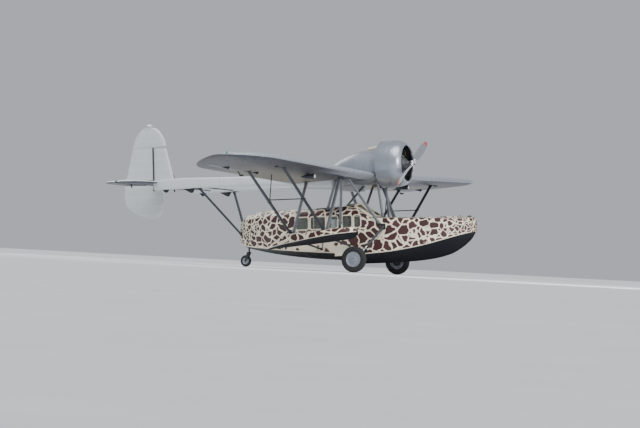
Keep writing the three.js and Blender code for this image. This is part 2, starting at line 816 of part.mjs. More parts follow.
// Columns: x, y, from the middle of the leading edge round the tip to the trailing edge
const TAILPLANE_EDGE = [
  [-5660, 0],
  [-5675, 900],
  [-5740, 1600],
  [-5920, 2080],
  [-6210, 2290],
  [-6480, 2280],
  [-6740, 2080],
  [-6890, 1700],
  [-6950, 1000],
  [-6960, 0],
];
const tailplaneHalf = planProfile(
  smoothOutline(TAILPLANE_EDGE, 26),
  TAIL_REACH.low,
  TAIL_REACH.high,
).intersect(tailSlab(false));
const elevatorAxis = (y) => at(TAIL_HINGE_X, y, TAILPLANE_Z);
const rudderAxis = (z) => at(TAIL_HINGE_X, 0, z);

function tailplane() {
  const whole = tailplaneHalf.add(mirrored(tailplaneHalf));
  const { rear, y: wide, low, high } = TAIL_REACH;
  const hinge = rod(elevatorAxis(-wide), elevatorAxis(wide), TAIL_HINGE.cove);
  const post = rod(rudderAxis(low), rudderAxis(high), TAIL_HINGE.cove);
  const behind = box(TAIL_HINGE_X, rear, -wide, wide, low, high);
  const body = largest(whole.subtract(hinge).subtract(post).subtract(behind));
  const points = ELEVATOR_HINGES.flatMap((y) => [elevatorAxis(y), elevatorAxis(-y)]);
  return withLugs(body, points, at(0, 1, 0), TAIL_HINGE.cove);
}

function elevator() {
  const { rear, y: wide, low, high } = TAIL_REACH;
  const blade = box(TAIL_HINGE_X, rear, RUDDER_WELL, wide, low, high);
  const front = rod(elevatorAxis(RUDDER_WELL), elevatorAxis(ELEVATOR_NOSE_END), TAIL_HINGE.nose);
  const horn = sideProfile(
    [
      [TAIL_HINGE_X + 6, TAILPLANE_Z],
      [TAIL_HINGE_X - 30, TAILPLANE_Z],
      [TAIL_HINGE_X - 8, TAILPLANE_Z - HORN.length],
      [TAIL_HINGE_X + 8, TAILPLANE_Z - HORN.length],
    ],
    HORN.y - HORN.half,
    HORN.y + HORN.half,
  );
  const body = largest(tailplaneHalf.intersect(blade.add(front))).add(horn);
  return withSlots(body, ELEVATOR_HINGES.map(elevatorAxis), at(0, 1, 0), TAIL_HINGE.cove);
}

// Columns: x, z
const FIN_EDGE = [
  [-5760, 60],
  [-5805, 300],
  [-5910, 720],
  [-5985, 1030],
];
const RUDDER_EDGE = [
  [-5995, 1062],
  [-6020, 1240],
  [-6140, 1450],
  [-6275, 1562],
  [-6445, 1592],
  [-6630, 1555],
  [-6780, 1435],
  [-6900, 1240],
  [-7020, 800],
  [-7120, 400],
  [-7190, 100],
  [-7225, -170],
  [-7170, -420],
  [-6980, -600],
  [-6740, -710],
  [-6480, -790],
  [-6300, -790],
  [-6180, -700],
  [-6105, -530],
  [-6085, -280],
  [-6100, -60],
];

function fin(carrier) {
  const [foot, top] = [FIN_EDGE[0][1], FIN_EDGE.at(-1)[1]];
  const edge = [...smoothOutline(FIN_EDGE, 8), [TAIL_HINGE_X, top], [TAIL_HINGE_X, foot]];
  const hinge = rod(rudderAxis(0), rudderAxis(top + 70), TAIL_HINGE.cove);
  const body = sideProfile(edge, -200, 200).intersect(tailSlab(true)).subtract(hinge);
  const seat = largest(seated(seated(body, carrier, at(0, 0, 1)), carrier, at(-1, 0, 0)));
  return withLugs(seat, RUDDER_HINGES.map(rudderAxis), at(0, 0, 1), TAIL_HINGE.cove);
}

function rudder() {
  const edge = smoothOutline(RUDDER_EDGE, 44);
  const [top, foot] = [RUDDER_EDGE[0][1], RUDDER_EDGE.at(-1)[1]];
  const outline = [...edge, [TAIL_HINGE_X, foot], [TAIL_HINGE_X, top]];
  const front = rod(rudderAxis(foot), rudderAxis(top), TAIL_HINGE.nose);
  const body = sideProfile(outline, -200, 200).intersect(tailSlab(true)).add(front);
  return withSlots(body, RUDDER_HINGES.map(rudderAxis), at(0, 0, 1), TAIL_HINGE.cove);
}

// Wheels and gear

function wheel({ radius, width, bore, sides }) {
  const half = width / 2;
  const inner = bore + BORE_ROOM;
  return turned(
    [
      [inner, -half * 0.8],
      [radius * 0.3, -half * 0.8],
      [radius * 0.42, -half * 0.55],
      [radius * 0.56, -half * 0.6],
      [radius * 0.68, -half],
      [radius * 0.88, -half * 0.92],
      [radius * 0.97, -half * 0.55],
      [radius, -half * 0.25],
      [radius, half * 0.25],
      [radius * 0.97, half * 0.55],
      [radius * 0.88, half * 0.92],
      [radius * 0.68, half],
      [radius * 0.56, half * 0.6],
      [radius * 0.42, half * 0.55],
      [radius * 0.3, half * 0.8],
      [inner, half * 0.8],
      [inner, -half * 0.8],
    ],
    "y",
    at(0, 0, 0),
    sides,
  );
}

function gearLeg(carriers) {
  const { x, y, z, width, bore } = MAIN_WHEEL;
  const { boss: hub, axleEnd } = GEAR;
  const knuckleY = y - width / 2 - GEAR.knuckle;
  const knuckle = at(x, knuckleY, z);
  const lower = bar(at(...GEAR.lowerRoot), knuckle, ...GEAR.lower);
  const shock = bar(at(...GEAR.shockRoot), knuckle, GEAR.shock, GEAR.shock);
  const boss = rod(at(x, knuckleY - hub.inner, z), at(x, y - width / 2 - hub.outer, z), hub.radius);
  const axle = rod(knuckle, at(x, y + width / 2 + axleEnd, z), bore);
  const whole = lower.add(shock).add(boss).add(axle);
  return largest(carriers.reduce((piece, hull) => seated(piece, hull, at(0, 1, 0)), whole));
}

function tailFork() {
  const { x, z, width, bore } = TAIL_WHEEL;
  const { x: postX, radius, top } = TAIL_POST;
  const { plate, clear, crownZ, front, rear, foot } = FORK;
  const inner = width / 2 + clear;
  const side = inner + plate;
  const arm = sideProfile(
    [
      [postX + front, crownZ],
      [postX - rear, crownZ],
      [x - foot, z],
      [x, z - foot],
      [x + foot, z],
    ],
    inner,
    side,
  );
  const crown = box(postX - rear, postX + front, -side, side, crownZ - 12, crownZ + 20);
  const post = rod(at(postX, 0, crownZ), at(postX, 0, top), radius);
  const axle = rod(at(x, -side, z), at(x, side, z), bore);
  return crown.add(post).add(arm).add(mirrored(arm)).add(axle);
}

// Floats and their struts

// Columns: x, keelZ, chineZ, chineY, sheerZ, sheerY, deckZ
const FLOAT_ROWS = [
  [330, -1590, -1500, 45, -1468, 40, -1435],
  [200, -1660, -1512, 165, -1445, 150, -1365],
  [-200, -1705, -1545, 240, -1455, 215, -1388],
  [-700, -1745, -1605, 260, -1490, 235, -1415],
  [-1200, -1780, -1680, 250, -1520, 225, -1435],
  [-1500, -1802, -1722, 215, -1552, 195, -1446],
  [-1800, -1824, -1772, 140, -1692, 125, -1612],
  [-2050, -1845, -1825, 45, -1802, 40, -1772],
];

// A point in the wing, the given distance above its lower face
const wingEnd = (x, y, sink) => at(x, y, wingAt(x, y).z - wingAt(x, y).half + sink);

// Cuts a piece at each of its carriers, given as [what carries it, away from it] pairs.
function supported(piece, carriers) {
  return largest(carriers.reduce((cut, [carrier, away]) => seated(cut, carrier, away), piece));
}

// Assembly

const up = at(0, 0, 1);
const down = at(0, 0, -1);
const outward = at(0, 1, 0);

const airframe = new THREE.Group();

function place(name, body, material) {
  const mesh = new THREE.Mesh(geometryOf(body), material);
  mesh.name = name;
  airframe.add(mesh);
  return mesh;
}

function placePair(name, body, material) {
  place(name + "_left", body, material);
  place(name + "_right", mirrored(body), material);
}

const bow = hullBow();
const cabin = hullCabin();
const bottom = cabinBottom();
const roof = cabinRoof();
const aft = hullAft();
place("hull_bow", bow, PAINT.hull);
place("hull_cabin", cabin, PAINT.hull);
place("cabin_bottom", bottom, PAINT.hull);
place("hull_aft", aft, PAINT.hull);
place("cabin_roof", roof, PAINT.hull);
place("bow_hatch", bowHatch(), PAINT.hull);
place("roof_hatch_front", roofHatch(HATCH.middle + 4, HATCH.front + 2), PAINT.smoke);
place("roof_hatch_rear", roofHatch(HATCH.rear - HATCH.lap, HATCH.middle - 4), PAINT.smoke);
const overNose = glazing(-590, -110, -620, 620, -1030, -650);
place("windscreen_glass", overNose.intersect(aboveSheer(20)), PAINT.glass);
placePair("side_glass", glazing(-2140, -320, 400, 700, -1320, -965), PAINT.glass);
place("front_seats", seat(-560, 520), PAINT.leather);
place("rear_seat", seat(-1500, 520), PAINT.leather);
place("instrument_panel", instrumentPanel(), PAINT.panel);

const centre = wingCentre();
const outerPanel = outerWingPanel();
place("wing_centre", centre, PAINT.silver);
placePair("wing", outerPanel, PAINT.silver);
placePair("aileron", aileron(), PAINT.silver);

const pod = nacelle(centre);
place("nacelle", pod, PAINT.silver);
place("cowl", cowl(), PAINT.silver);
place("engine", engine(), PAINT.engine);
const prop = place("propeller", propeller().rotate([-PROP.rest, 0, 0]), PAINT.blade);
prop.position.set(PROP.x, 0, THRUST_Z);

const surface = tailplane();
place("tailplane", surface, PAINT.silver);
placePair("elevator", elevator(), PAINT.silver);
place("fin", fin(surface), PAINT.silver);
place("rudder", rudder(), PAINT.silver);
const port = boom([centre, surface]);
placePair("boom", port, PAINT.silver);

const float = boat(FLOAT_ROWS, FLOAT_Y);
placePair("float", float, PAINT.hull);

const footY = (side) => FLOAT_Y + side * FOOT_SPREAD;
const frontFoot = (side) => at(FRONT_FOOT.x, footY(side), FRONT_FOOT.z);
const rearFoot = (side) => at(REAR_FOOT.x, footY(side), REAR_FOOT.z);
const onWingAndFloat = [[outerPanel, down], [float, up]];
const onBow = [[centre, down], [bow, outward]];
const onCabin = [[centre, down], [cabin, outward]];
const onRoof = [[centre, down], [roof, up]];
const onNacelle = [[pod, down], [bow, up]];
const onStern = [[port, down], [aft, at(-1, 1, 0)]];

const outerTop = (x, sink) => wingEnd(x, STRUT_TOP_Y, sink);
const innerTop = (x, sink) => wingEnd(x, INNER_STRUT_TOP_Y, sink);

// The struts of one side. Columns: name, from, to, depth, thickness, carriers
const struts = [
  ["lift_strut_front", outerTop(FRONT_SPAR_X, 45), frontFoot(1), 80, 40, onWingAndFloat],
  ["lift_strut_rear", outerTop(REAR_SPAR_X, 35), rearFoot(1), 80, 40, onWingAndFloat],
  ["float_strut_front", innerTop(FRONT_SPAR_X, 45), frontFoot(-1), 80, 40, onWingAndFloat],
  ["float_strut_rear", innerTop(REAR_SPAR_X, 35), rearFoot(-1), 80, 40, onWingAndFloat],
  ["cabane_front", wingEnd(-470, BOOM_Y, 40), at(190, 636, -1270), 66, 36, onBow],
  ["cabane_middle", wingEnd(-620, BOOM_Y, 40), at(-895, 636, -1270), 66, 36, onCabin],
  ["cabane_rear", wingEnd(-800, 1040, 40), at(-1300, 490, -835), 60, 34, onRoof],
  ["engine_strut", at(-5, 280, -60), at(110, 220, -1080), 60, 42, onNacelle],
  ["tail_strut", at(-4600, BOOM_Y, -80), at(-3800, 100, -1390), 60, 32, onStern],
];
for (const [name, from, to, deep, thick, carriers] of struts) {
  placePair(name, supported(bar(from, to, deep, thick), carriers), PAINT.strut);
}

// A crossbar between the middles of the two lift struts, and a post from the rear one to the wing
const strutNamed = (name) => struts.find((row) => row[0] === name);
const plainStrut = ([, from, to, deep, thick]) => bar(from, to, deep, thick);
const strutMiddle = ([, from, to]) => from.clone().lerp(to, 0.5);

function juryFrame() {
  const { tube, sides, rise, lean, sink } = JURY;
  const front = strutNamed("lift_strut_front");
  const rear = strutNamed("lift_strut_rear");
  const foot = strutMiddle(rear);
  const post = bar(foot, wingEnd(REAR_SPAR_X + lean, foot.y, sink), tube, tube, sides);
  const onPost = foot.clone().add(at(lean * 0.05, 0, rise));
  const crossbar = bar(strutMiddle(front), onPost, tube, tube, sides);
  return supported(post.add(crossbar), [
    [plainStrut(front), at(-1, 0, 0)],
    [plainStrut(front), up],
    [plainStrut(rear), up],
    [outerPanel, down],
  ]);
}

// Two bars and a diagonal that hold a float out from the hull's chine
function spreader() {
  const { tube, diagonal, inner, hullY, drop } = SPREADER;
  const [front, rear] = [[-640, -1560], [-1400, -1620]].map(([x, z]) => ({
    float: at(x, FLOAT_Y - inner, z),
    hull: at(x, hullY, z - drop),
  }));
  const whole = bar(front.float, front.hull, tube, tube)
    .add(bar(rear.float, rear.hull, tube, tube))
    .add(bar(front.float, rear.hull, diagonal, diagonal, 8));
  return supported(whole, [[float, at(0, -1, 0)], [cabin, outward], [bottom, outward]]);
}

placePair("jury_frame", juryFrame(), PAINT.strut);
placePair("spreader", spreader(), PAINT.strut);

placePair("gear_leg", gearLeg([cabin, bottom, bow]), PAINT.strut);

function placeWheel(name, size, side) {
  const mesh = place(name, wheel(size), PAINT.tyre);
  mesh.position.set(size.x, side * size.y, size.z);
  mesh.rotation.y = PARKED_PITCH + Math.PI / size.sides;
}

placeWheel("wheel_left", MAIN_WHEEL, 1);
placeWheel("wheel_right", MAIN_WHEEL, -1);
place("tail_fork", tailFork(), PAINT.strut);
placeWheel("tail_wheel", TAIL_WHEEL, 1);

airframe.rotation.y = -PARKED_PITCH;
const extent = new THREE.Box3().setFromObject(airframe, true);
const middle = extent.getCenter(at(0, 0, 0));
airframe.position.set(-middle.x, 0, -extent.min.z);

const parked = new THREE.Group();
parked.add(airframe);

export default parked;
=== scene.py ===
"""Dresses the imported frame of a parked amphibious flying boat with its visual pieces."""
import json
import math

import bmesh
import bpy
from bpy.props import FloatProperty, FloatVectorProperty, IntProperty, PointerProperty
from mathutils import Matrix, Vector


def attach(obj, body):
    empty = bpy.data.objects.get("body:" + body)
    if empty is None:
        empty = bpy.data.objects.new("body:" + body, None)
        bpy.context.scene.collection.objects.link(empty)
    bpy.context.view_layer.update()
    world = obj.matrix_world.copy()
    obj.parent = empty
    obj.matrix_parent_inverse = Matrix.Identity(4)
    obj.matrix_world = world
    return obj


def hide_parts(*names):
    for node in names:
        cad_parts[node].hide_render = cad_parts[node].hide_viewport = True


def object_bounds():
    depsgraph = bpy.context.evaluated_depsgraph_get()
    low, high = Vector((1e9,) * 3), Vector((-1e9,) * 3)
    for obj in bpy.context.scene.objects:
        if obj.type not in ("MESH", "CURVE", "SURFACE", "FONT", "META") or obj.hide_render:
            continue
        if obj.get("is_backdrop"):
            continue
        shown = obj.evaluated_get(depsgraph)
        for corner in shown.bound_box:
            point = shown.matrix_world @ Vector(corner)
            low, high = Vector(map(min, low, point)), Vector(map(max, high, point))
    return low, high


bl_info = {
    "name": "Amphibious Flying Boat",
    "version": (1, 0, 0),
    "blender": (4, 5, 0),
    "location": "3D View > Sidebar > Flying Boat",
    "description": "Builds the skins, engine, struts, gear and fittings over the packed frame",
    "category": "Add Mesh",
}

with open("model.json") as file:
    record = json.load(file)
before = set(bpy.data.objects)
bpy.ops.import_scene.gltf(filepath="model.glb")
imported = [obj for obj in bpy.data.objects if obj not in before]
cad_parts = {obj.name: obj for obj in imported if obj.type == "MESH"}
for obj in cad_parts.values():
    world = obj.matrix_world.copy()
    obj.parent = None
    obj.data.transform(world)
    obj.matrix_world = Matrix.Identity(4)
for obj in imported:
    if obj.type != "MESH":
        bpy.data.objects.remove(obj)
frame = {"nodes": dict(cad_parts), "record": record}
CAD_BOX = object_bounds()


def joint_place(name):
    """Where a joint of the record sits on the parked aircraft."""
    joint = next(j for j in frame["record"]["behaviour"]["joints"] if j["name"] == name)
    return Vector(joint["pos_m"])


# Airframe axes: +X forward, +Y to the pilot's left, +Z up, datum at the wing's leading edge on the
# centreline. The aircraft stands nose up, so every form is made in airframe metres and then parked.
PITCH = math.radians(5)
HUB = Vector((-0.2, 1.5, -2.13))
TURN = Matrix.Rotation(-PITCH, 4, "Y")
PARKED = Matrix.Translation(joint_place("wheel_left_spin") - (TURN @ HUB)) @ TURN
TAIL_HUB = PARKED.inverted() @ joint_place("tail_wheel_spin")

# Wing
CHORD = 1.9
WING_THICK = 0.12
WING_CAMBER = 0.03
INCIDENCE = math.radians(5.7)
DIHEDRAL = 0.0248
HALF_SPAN = 7.925
TIP_START = 6.6
TIP_AXIS_X = -1.0
CENTRE_PANEL_Y = 1.3
FRONT_SPAR_X = -0.54
REAR_SPAR_X = -1.44
AILERON = {"hinge": -1.56, "inner": 4.0, "outer": 7.1, "nose": 0.047, "cove": 0.06, "gap": 0.012}

# Places of the main groups
BOOM_Y = 1.13
FLOAT_Y = 2.57
STRUT_TOP_Y = 5.09
THRUST_Z = 0.295
PROP_X = 0.86
TAIL_HINGE_X = -6.38
TAILPLANE_Z = 0.075
RUDDER_WELL = 0.43

# Hull and float stations. Columns: x, keel z, chine z, chine y, sheer z, sheer y, deck z
FOREBODY = [
    (2.480, -1.545, -1.515, 0.090, -1.205, 0.110, -1.155),
    (2.395, -1.670, -1.540, 0.230, -1.200, 0.265, -1.145),
    (2.150, -1.870, -1.603, 0.370, -1.190, 0.395, -1.135),
    (1.820, -2.035, -1.690, 0.480, -1.178, 0.495, -1.120),
    (1.370, -2.130, -1.800, 0.580, -1.150, 0.580, -1.097),
    (0.900, -2.170, -1.882, 0.635, -1.127, 0.630, -1.078),
    (0.350, -2.185, -1.945, 0.660, -1.100, 0.650, -1.058),
    (-0.050, -2.185, -1.968, 0.662, -1.080, 0.650, -1.040),
    (-0.310, -2.184, -1.980, 0.662, -0.958, 0.650, -0.860),
    (-0.600, -2.183, -1.990, 0.662, -0.955, 0.650, -0.660),
    (-0.850, -2.182, -1.999, 0.662, -0.950, 0.650, -0.672),
    (-0.866, -2.182, -1.999, 0.662, -0.950, 0.650, -0.735),
    (-1.050, -2.180, -2.004, 0.662, -0.950, 0.650, -0.738),
]
AFTERBODY = [
    (-1.050, -2.085, -1.925, 0.662, -0.950, 0.650, -0.738),
    (-1.700, -2.030, -1.872, 0.655, -0.955, 0.650, -0.745),
    (-2.200, -1.970, -1.825, 0.620, -0.965, 0.640, -0.740),
    (-2.800, -1.880, -1.760, 0.510, -0.990, 0.570, -0.735),
    (-3.200, -1.800, -1.705, 0.400, -1.010, 0.480, -0.745),
    (-3.450, -1.740, -1.675, 0.310, -1.040, 0.380, -0.785),
    (-3.720, -1.665, -1.620, 0.190, -1.110, 0.240, -0.860),
    (-3.885, -1.560, -1.530, 0.075, -1.200, 0.105, -1.030),
    (-3.930, -1.400, -1.385, 0.025, -1.300, 0.030, -1.270),
]
FLOAT_ROWS = [
    (0.330, -1.590, -1.500, 0.045, -1.468, 0.040, -1.435),
    (0.200, -1.660, -1.512, 0.165, -1.445, 0.150, -1.365),
    (-0.200, -1.705, -1.545, 0.240, -1.455, 0.215, -1.388),
    (-0.700, -1.745, -1.605, 0.260, -1.490, 0.235, -1.415),
    (-1.200, -1.780, -1.680, 0.250, -1.520, 0.225, -1.435),
    (-1.500, -1.802, -1.722, 0.215, -1.552, 0.195, -1.446),
    (-1.800, -1.824, -1.772, 0.140, -1.692, 0.125, -1.612),
    (-2.050, -1.845, -1.825, 0.045, -1.802, 0.040, -1.772),
]
STEP_X = -1.05
CABIN_NOSE_X = 0.06
CABIN_TAIL_X = -2.2
CABIN_FLOOR_Z = -1.815
WINDOW_TOP, WINDOW_BOTTOM = -0.99, -1.29
CABIN_LEVELS = (WINDOW_TOP, -1.14, WINDOW_BOTTOM, -1.5, -1.75)
# Columns: rear x, front x
SIDE_WINDOWS = [(-2.11, -1.76), (-1.70, -1.29), (-1.225, -0.955), (-0.835, -0.57), (-0.515, -0.335)]
WINDSCREEN = {"front": -0.15, "rear": -0.54, "post": 0.028, "half": 0.46}
HATCH = {"front": -0.87, "middle": -1.255, "rear": -1.64, "half": 0.32, "bar": 0.015}
BOW_HATCH = {"front": 2.13, "rear": 1.68, "half": 0.2, "floor": -1.38, "overlap": 0.025}
PORTHOLE = Vector((-3.27, 0.0, -1.19))

# Where the struts stand on a float: x and z of each pair, and how far each strut is from its middle
FLOAT_FEET = ((-0.5, -1.45), (-1.4, -1.49))
FLOAT_FOOT_SPREAD = 0.055

# Engine
CYLINDERS = 9
CYLINDER_X = 0.4
BLADE_REST = math.radians(62)
BLADE_PAINT_FROM = 1.075


# Curves and forms


def through(pairs):
    """A smooth curve through (place, value) pairs, in rising order of place, with no overshoot."""
    places = [p[0] for p in pairs]
    values = [p[1] for p in pairs]
    steps = [(values[i + 1] - values[i]) / (places[i + 1] - places[i]) for i in range(len(pairs) - 1)]
    slopes = [steps[0]]
    for before, after in zip(steps, steps[1:]):
        slopes.append(0 if before * after <= 0 else 2 * before * after / (before + after))
    slopes.append(steps[-1])

    def value_at(place):
        place = min(max(place, places[0]), places[-1])
        i = next((k for k in range(len(steps)) if place <= places[k + 1]), len(steps) - 1)
        width = places[i + 1] - places[i]
        t = (place - places[i]) / width
        return (
            (2 * t**3 - 3 * t**2 + 1) * values[i]
            + (t**3 - 2 * t**2 + t) * width * slopes[i]
            + (3 * t**2 - 2 * t**3) * values[i + 1]
            + (t**3 - t**2) * width * slopes[i + 1]
        )

    return value_at


def columns(rows):
    """Smooth curves along a table of stations, one for each column after the first."""
    rising = sorted(rows)
    return [through([(row[0], row[i]) for row in rising]) for i in range(1, len(rows[0]))]


def smooth_path(points, steps):
    """More points along a smooth curve through the points given, as a Catmull-Rom curve."""
    corners = [Vector(p) for p in points]
    out = []
    for i in range(len(corners) - 1):
        p0, p1 = corners[max(i - 1, 0)], corners[i]
        p2, p3 = corners[i + 1], corners[min(i + 2, len(corners) - 1)]
        bend, twist = 2 * p0 - 5 * p1 + 4 * p2 - p3, 3 * p1 - p0 - 3 * p2 + p3
        for k in range(steps):
            t = k / steps
            out.append(0.5 * (2 * p1 + (p2 - p0) * t + bend * t**2 + twist * t**3))
    return out + [corners[-1]]


def spread(start, end, count):
    """Evenly spaced numbers from start to end, both kept."""
    return [start + (end - start) * i / (count - 1) for i in range(count)]


def fuller(share, power):
    """A sine or cosine raised to a power with its sign kept, for a section with squarer corners."""
    return math.copysign(abs(share) ** power, share)


def strip(half, low, high):
    """The section of a flat strip that reaches half to each side."""
    return [(-half, low), (-half, high), (half, high), (half, low)]


def outward(angle):
    """The direction away from the flight line at an angle from the top."""
    return Vector((0, math.sin(angle), math.cos(angle)))


def hoop(x, radius, count, centre_z=None, tall=None):
    """A ring of points about the thrust line, or about another height, as tall as is asked."""
    middle = THRUST_Z if centre_z is None else centre_z
    tall = radius if tall is None else tall
    return [(x, radius * math.sin(a), middle + tall * math.cos(a)) for a in angles(count)]


def filled(marks, step):
    """The marks in falling order, with more numbers between them no further apart than step."""
    marks = sorted(set(marks), reverse=True)
    out = [marks[0]]
    for a, b in zip(marks, marks[1:]):
        parts = max(1, math.ceil((a - b) / step))
        out += [a + (b - a) * (i + 1) / parts for i in range(parts)]
    return out


def headings(points, closed):
    """The direction of a path at each of its points."""
    count = len(points)
    ways = []
    for i, point in enumerate(points):
        before = points[i - 1] if i or closed else point
        after = points[(i + 1) % count] if i + 1 < count or closed else point
        ways.append((after - before).normalized())
    return ways


class Form:
    """Points and faces of one piece in airframe metres, each face with the number of its finish."""

    def __init__(self):
        self.points = []
        self.faces = []
        self.finishes = []

    def face(self, indices, finish=0):
        """One face over points that are already there."""
        self.faces.append(tuple(indices))
        self.finishes.append(finish)

    def put(self, points, faces, finish=0):
        """Points with faces numbered from the first of them."""
        start = len(self.points)
        self.points += [Vector(p) for p in points]
        for indices in faces:
            self.face([start + i for i in indices], finish)
        return start

    def rings(self, rings, finish=0, caps=True, finish_of=None, keep=None):
        """A skin over rings of points; finish_of and keep take the ring's and the point's number."""
        count = len(rings[0])
        start = self.put([p for ring in rings for p in ring], [])
        for r in range(len(rings) - 1):
            for i in range(count):
                if keep and not keep(r, i):
                    continue
                a = start + r * count + i
                b = start + r * count + (i + 1) % count
                self.face((a, b, b + count, a + count), finish_of(r, i) if finish_of else finish)
        if caps:
            self.face([start + i for i in range(count)], finish)
            last = start + (len(rings) - 1) * count
            self.face([last + i for i in reversed(range(count))], finish)

    def turned(self, profile, centre, axis, sides=32, finish=0, caps=True):
        """A body of revolution from (radius, distance along the axis) pairs; with no caps it is a ring."""
        if not caps:
            profile = [*profile, profile[0]]
        along = Vector(axis).normalized()
        u, v = cross_axes(along)
        rings = []
        for radius, distance in profile:
            middle = Vector(centre) + along * distance
            rings.append([middle + (u * math.cos(a) + v * math.sin(a)) * radius for a in angles(sides)])
        self.rings(rings, finish, caps=caps)

    def tube(self, path, radius, sides, finish=0, closed=False):
        """A round tube along a path."""
        points = [Vector(p) for p in path]
        u = None
        rings = []
        for point, along in zip(points, headings(points, closed)):
            if u is None:
                u, v = cross_axes(along)
            else:
                u = (u - along * u.dot(along)).normalized()
                v = along.cross(u)
            rings.append([point + (u * math.cos(a) + v * math.sin(a)) * radius for a in angles(sides)])
        if closed:
            rings.append(rings[0])
        self.rings(rings, finish, caps=not closed)

    def swept(self, path, section, up, finish=0, closed=False):
        """A flat-sided strip: section points are (sideways, upwards) from each point of the path."""
        points = [Vector(p) for p in path]
        rise = Vector(up).normalized()
        rings = []
        for point, along in zip(points, headings(points, closed)):
            side = rise.cross(along).normalized()
            rings.append([point + side * a + rise * b for a, b in section])
        if closed:
            rings.append(rings[0])
        self.rings(rings, finish, caps=not closed)

    def strut(self, top, foot, deep, thick, finish=0):
        """A streamlined bar: deep along the flight line, blunt ahead and thin behind."""
        top, foot = Vector(top), Vector(foot)
        fore, side = strut_axes((foot - top).normalized())
        section = []
        for a in angles(20):
            lean = 0.12 * (1 - math.cos(2 * a)) / 2
            taper = 1 - 0.25 * (1 - math.cos(a)) / 2
            section.append((math.cos(a) * deep / 2 + lean * deep, math.sin(a) * thick / 2 * taper))
        rings = []
        for t in spread(0, 1, 9):
            middle = top.lerp(foot, t)
            size = 1 + 0.12 * math.sin(math.pi * t)
            rings.append([middle + fore * (u * size) + side * (v * size) for u, v in section])
        self.rings(rings, finish)

    def block(self, low, high, finish=0):
        """A box between two corners."""
        (x0, y0, z0), (x1, y1, z1) = low, high
        rings = [[(x, y0, z0), (x, y1, z0), (x, y1, z1), (x, y0, z1)] for x in (x0, x1)]
        self.rings(rings, finish)

    def domed(self, centre, axis, radius, rise, sides=12, finish=0):
        """A small round head, such as a rivet or bolt, that stands on a surface."""
        profile = [(radius, -rise), (radius, rise * 0.3), (radius * 0.75, rise * 0.8), (radius * 0.2, rise)]
        self.turned(profile, centre, axis, sides, finish)

    def plate(self, centre, out, along, long, wide, finish=0):
        """A round-cornered fitting plate with four bolts, square to the direction out."""
        out = Vector(out).normalized()
        v = (Vector(along) - out * out.dot(Vector(along))).normalized()
        u = v.cross(out)
        rings = []
        for lift, size in ((-0.014, 1.0), (0.005, 1.0), (0.008, 0.95)):
            ring = []
            for a in angles(24):
                across = fuller(math.cos(a), 0.5) * wide / 2 * size
                ahead = fuller(math.sin(a), 0.5) * long / 2 * size
                ring.append(Vector(centre) + out * lift + u * across + v * ahead)
            rings.append(ring)
        self.rings(rings, finish)
        for across in (-0.32, 0.32):
            for ahead in (-0.36, 0.36):
                spot = Vector(centre) + out * 0.008 + u * (wide * across) + v * (long * ahead)
                self.domed(spot, out, 0.009, 0.007, 6, finish)

    def mirror(self):
        """Adds the same form on the starboard side."""
        other = self.flipped()
        start = self.put(other.points, [])
        for indices, finish in zip(other.faces, other.finishes):
            self.face([start + i for i in indices], finish)

    def flipped(self):
        """The same form for the starboard side alone."""
        other = Form()
        other.points = [Vector((p.x, -p.y, p.z)) for p in self.points]
        other.faces = [tuple(reversed(f)) for f in self.faces]
        other.finishes = list(self.finishes)
        return other


def strut_axes(along):
    """The unit vectors square to a strut, one along the flight line and one sideways."""
    fore = (Vector((1, 0, 0)) - along * along.x).normalized()
    return fore, along.cross(fore)


def cross_axes(along):
    """Two unit vectors square to a direction and to each other."""
    helper = Vector((0, 0, 1)) if abs(along.z) < 0.9 else Vector((1, 0, 0))
    u = helper.cross(along).normalized()
    return u, along.cross(u)


def angles(count):
    """Angles of a full turn in equal steps."""
    return [2 * math.pi * i / count for i in range(count)]


def placed(name, data):
    """A new object of the scene that holds the data given."""
    thing = bpy.data.objects.new(name, data)
    bpy.context.scene.collection.objects.link(thing)
    return thing


def piece(name, form, finishes, body="airframe", slot="silver_dope", nodes=(), sharp=32, shell=0, bevel=0):
    """Makes a form into an object that rides on a body and stands for the nodes given."""
    mesh = bpy.data.meshes.new(name)
    mesh.from_pydata([PARKED @ p for p in form.points], [], form.faces)
    for label in finishes:
        mesh.materials.append(finish(label))
    for polygon, number in zip(mesh.polygons, form.finishes):
        polygon.material_index = min(number, len(finishes) - 1)
    work = bmesh.new()
    work.from_mesh(mesh)
    bmesh.ops.remove_doubles(work, verts=work.verts, dist=1e-5)
    bmesh.ops.dissolve_degenerate(work, edges=work.edges, dist=1e-6)
    if not shell:
        bmesh.ops.recalc_face_normals(work, faces=work.faces)
    work.to_mesh(mesh)
    work.free()
    thing = placed(name, mesh)
    if shell:
        wall = thing.modifiers.new("wall", "SOLIDIFY")
        wall.thickness = shell
        wall.offset = -1
        wall.material_offset = len(finishes) - 1
        wall.material_offset_rim = 0
    if bevel:
        round_edges = thing.modifiers.new("rounded edges", "BEVEL")
        round_edges.width = bevel
        round_edges.segments = 2
        round_edges.limit_method = "ANGLE"
        round_edges.angle_limit = math.radians(40)
    if shell or bevel:
        settle(thing)
    mesh = thing.data
    mesh.shade_smooth()
    mesh.set_sharp_from_angle(angle=math.radians(sharp))
    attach(thing, body)
    if nodes:
        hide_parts(*nodes)
    return thing


def settle(thing):
    """Applies the modifiers of a piece, so that only its mesh is left."""
    graph = bpy.context.evaluated_depsgraph_get()
    mesh = bpy.data.meshes.new_from_object(thing.evaluated_get(graph))
    old = thing.data
    thing.modifiers.clear()
    thing.data = mesh
    bpy.data.meshes.remove(old)


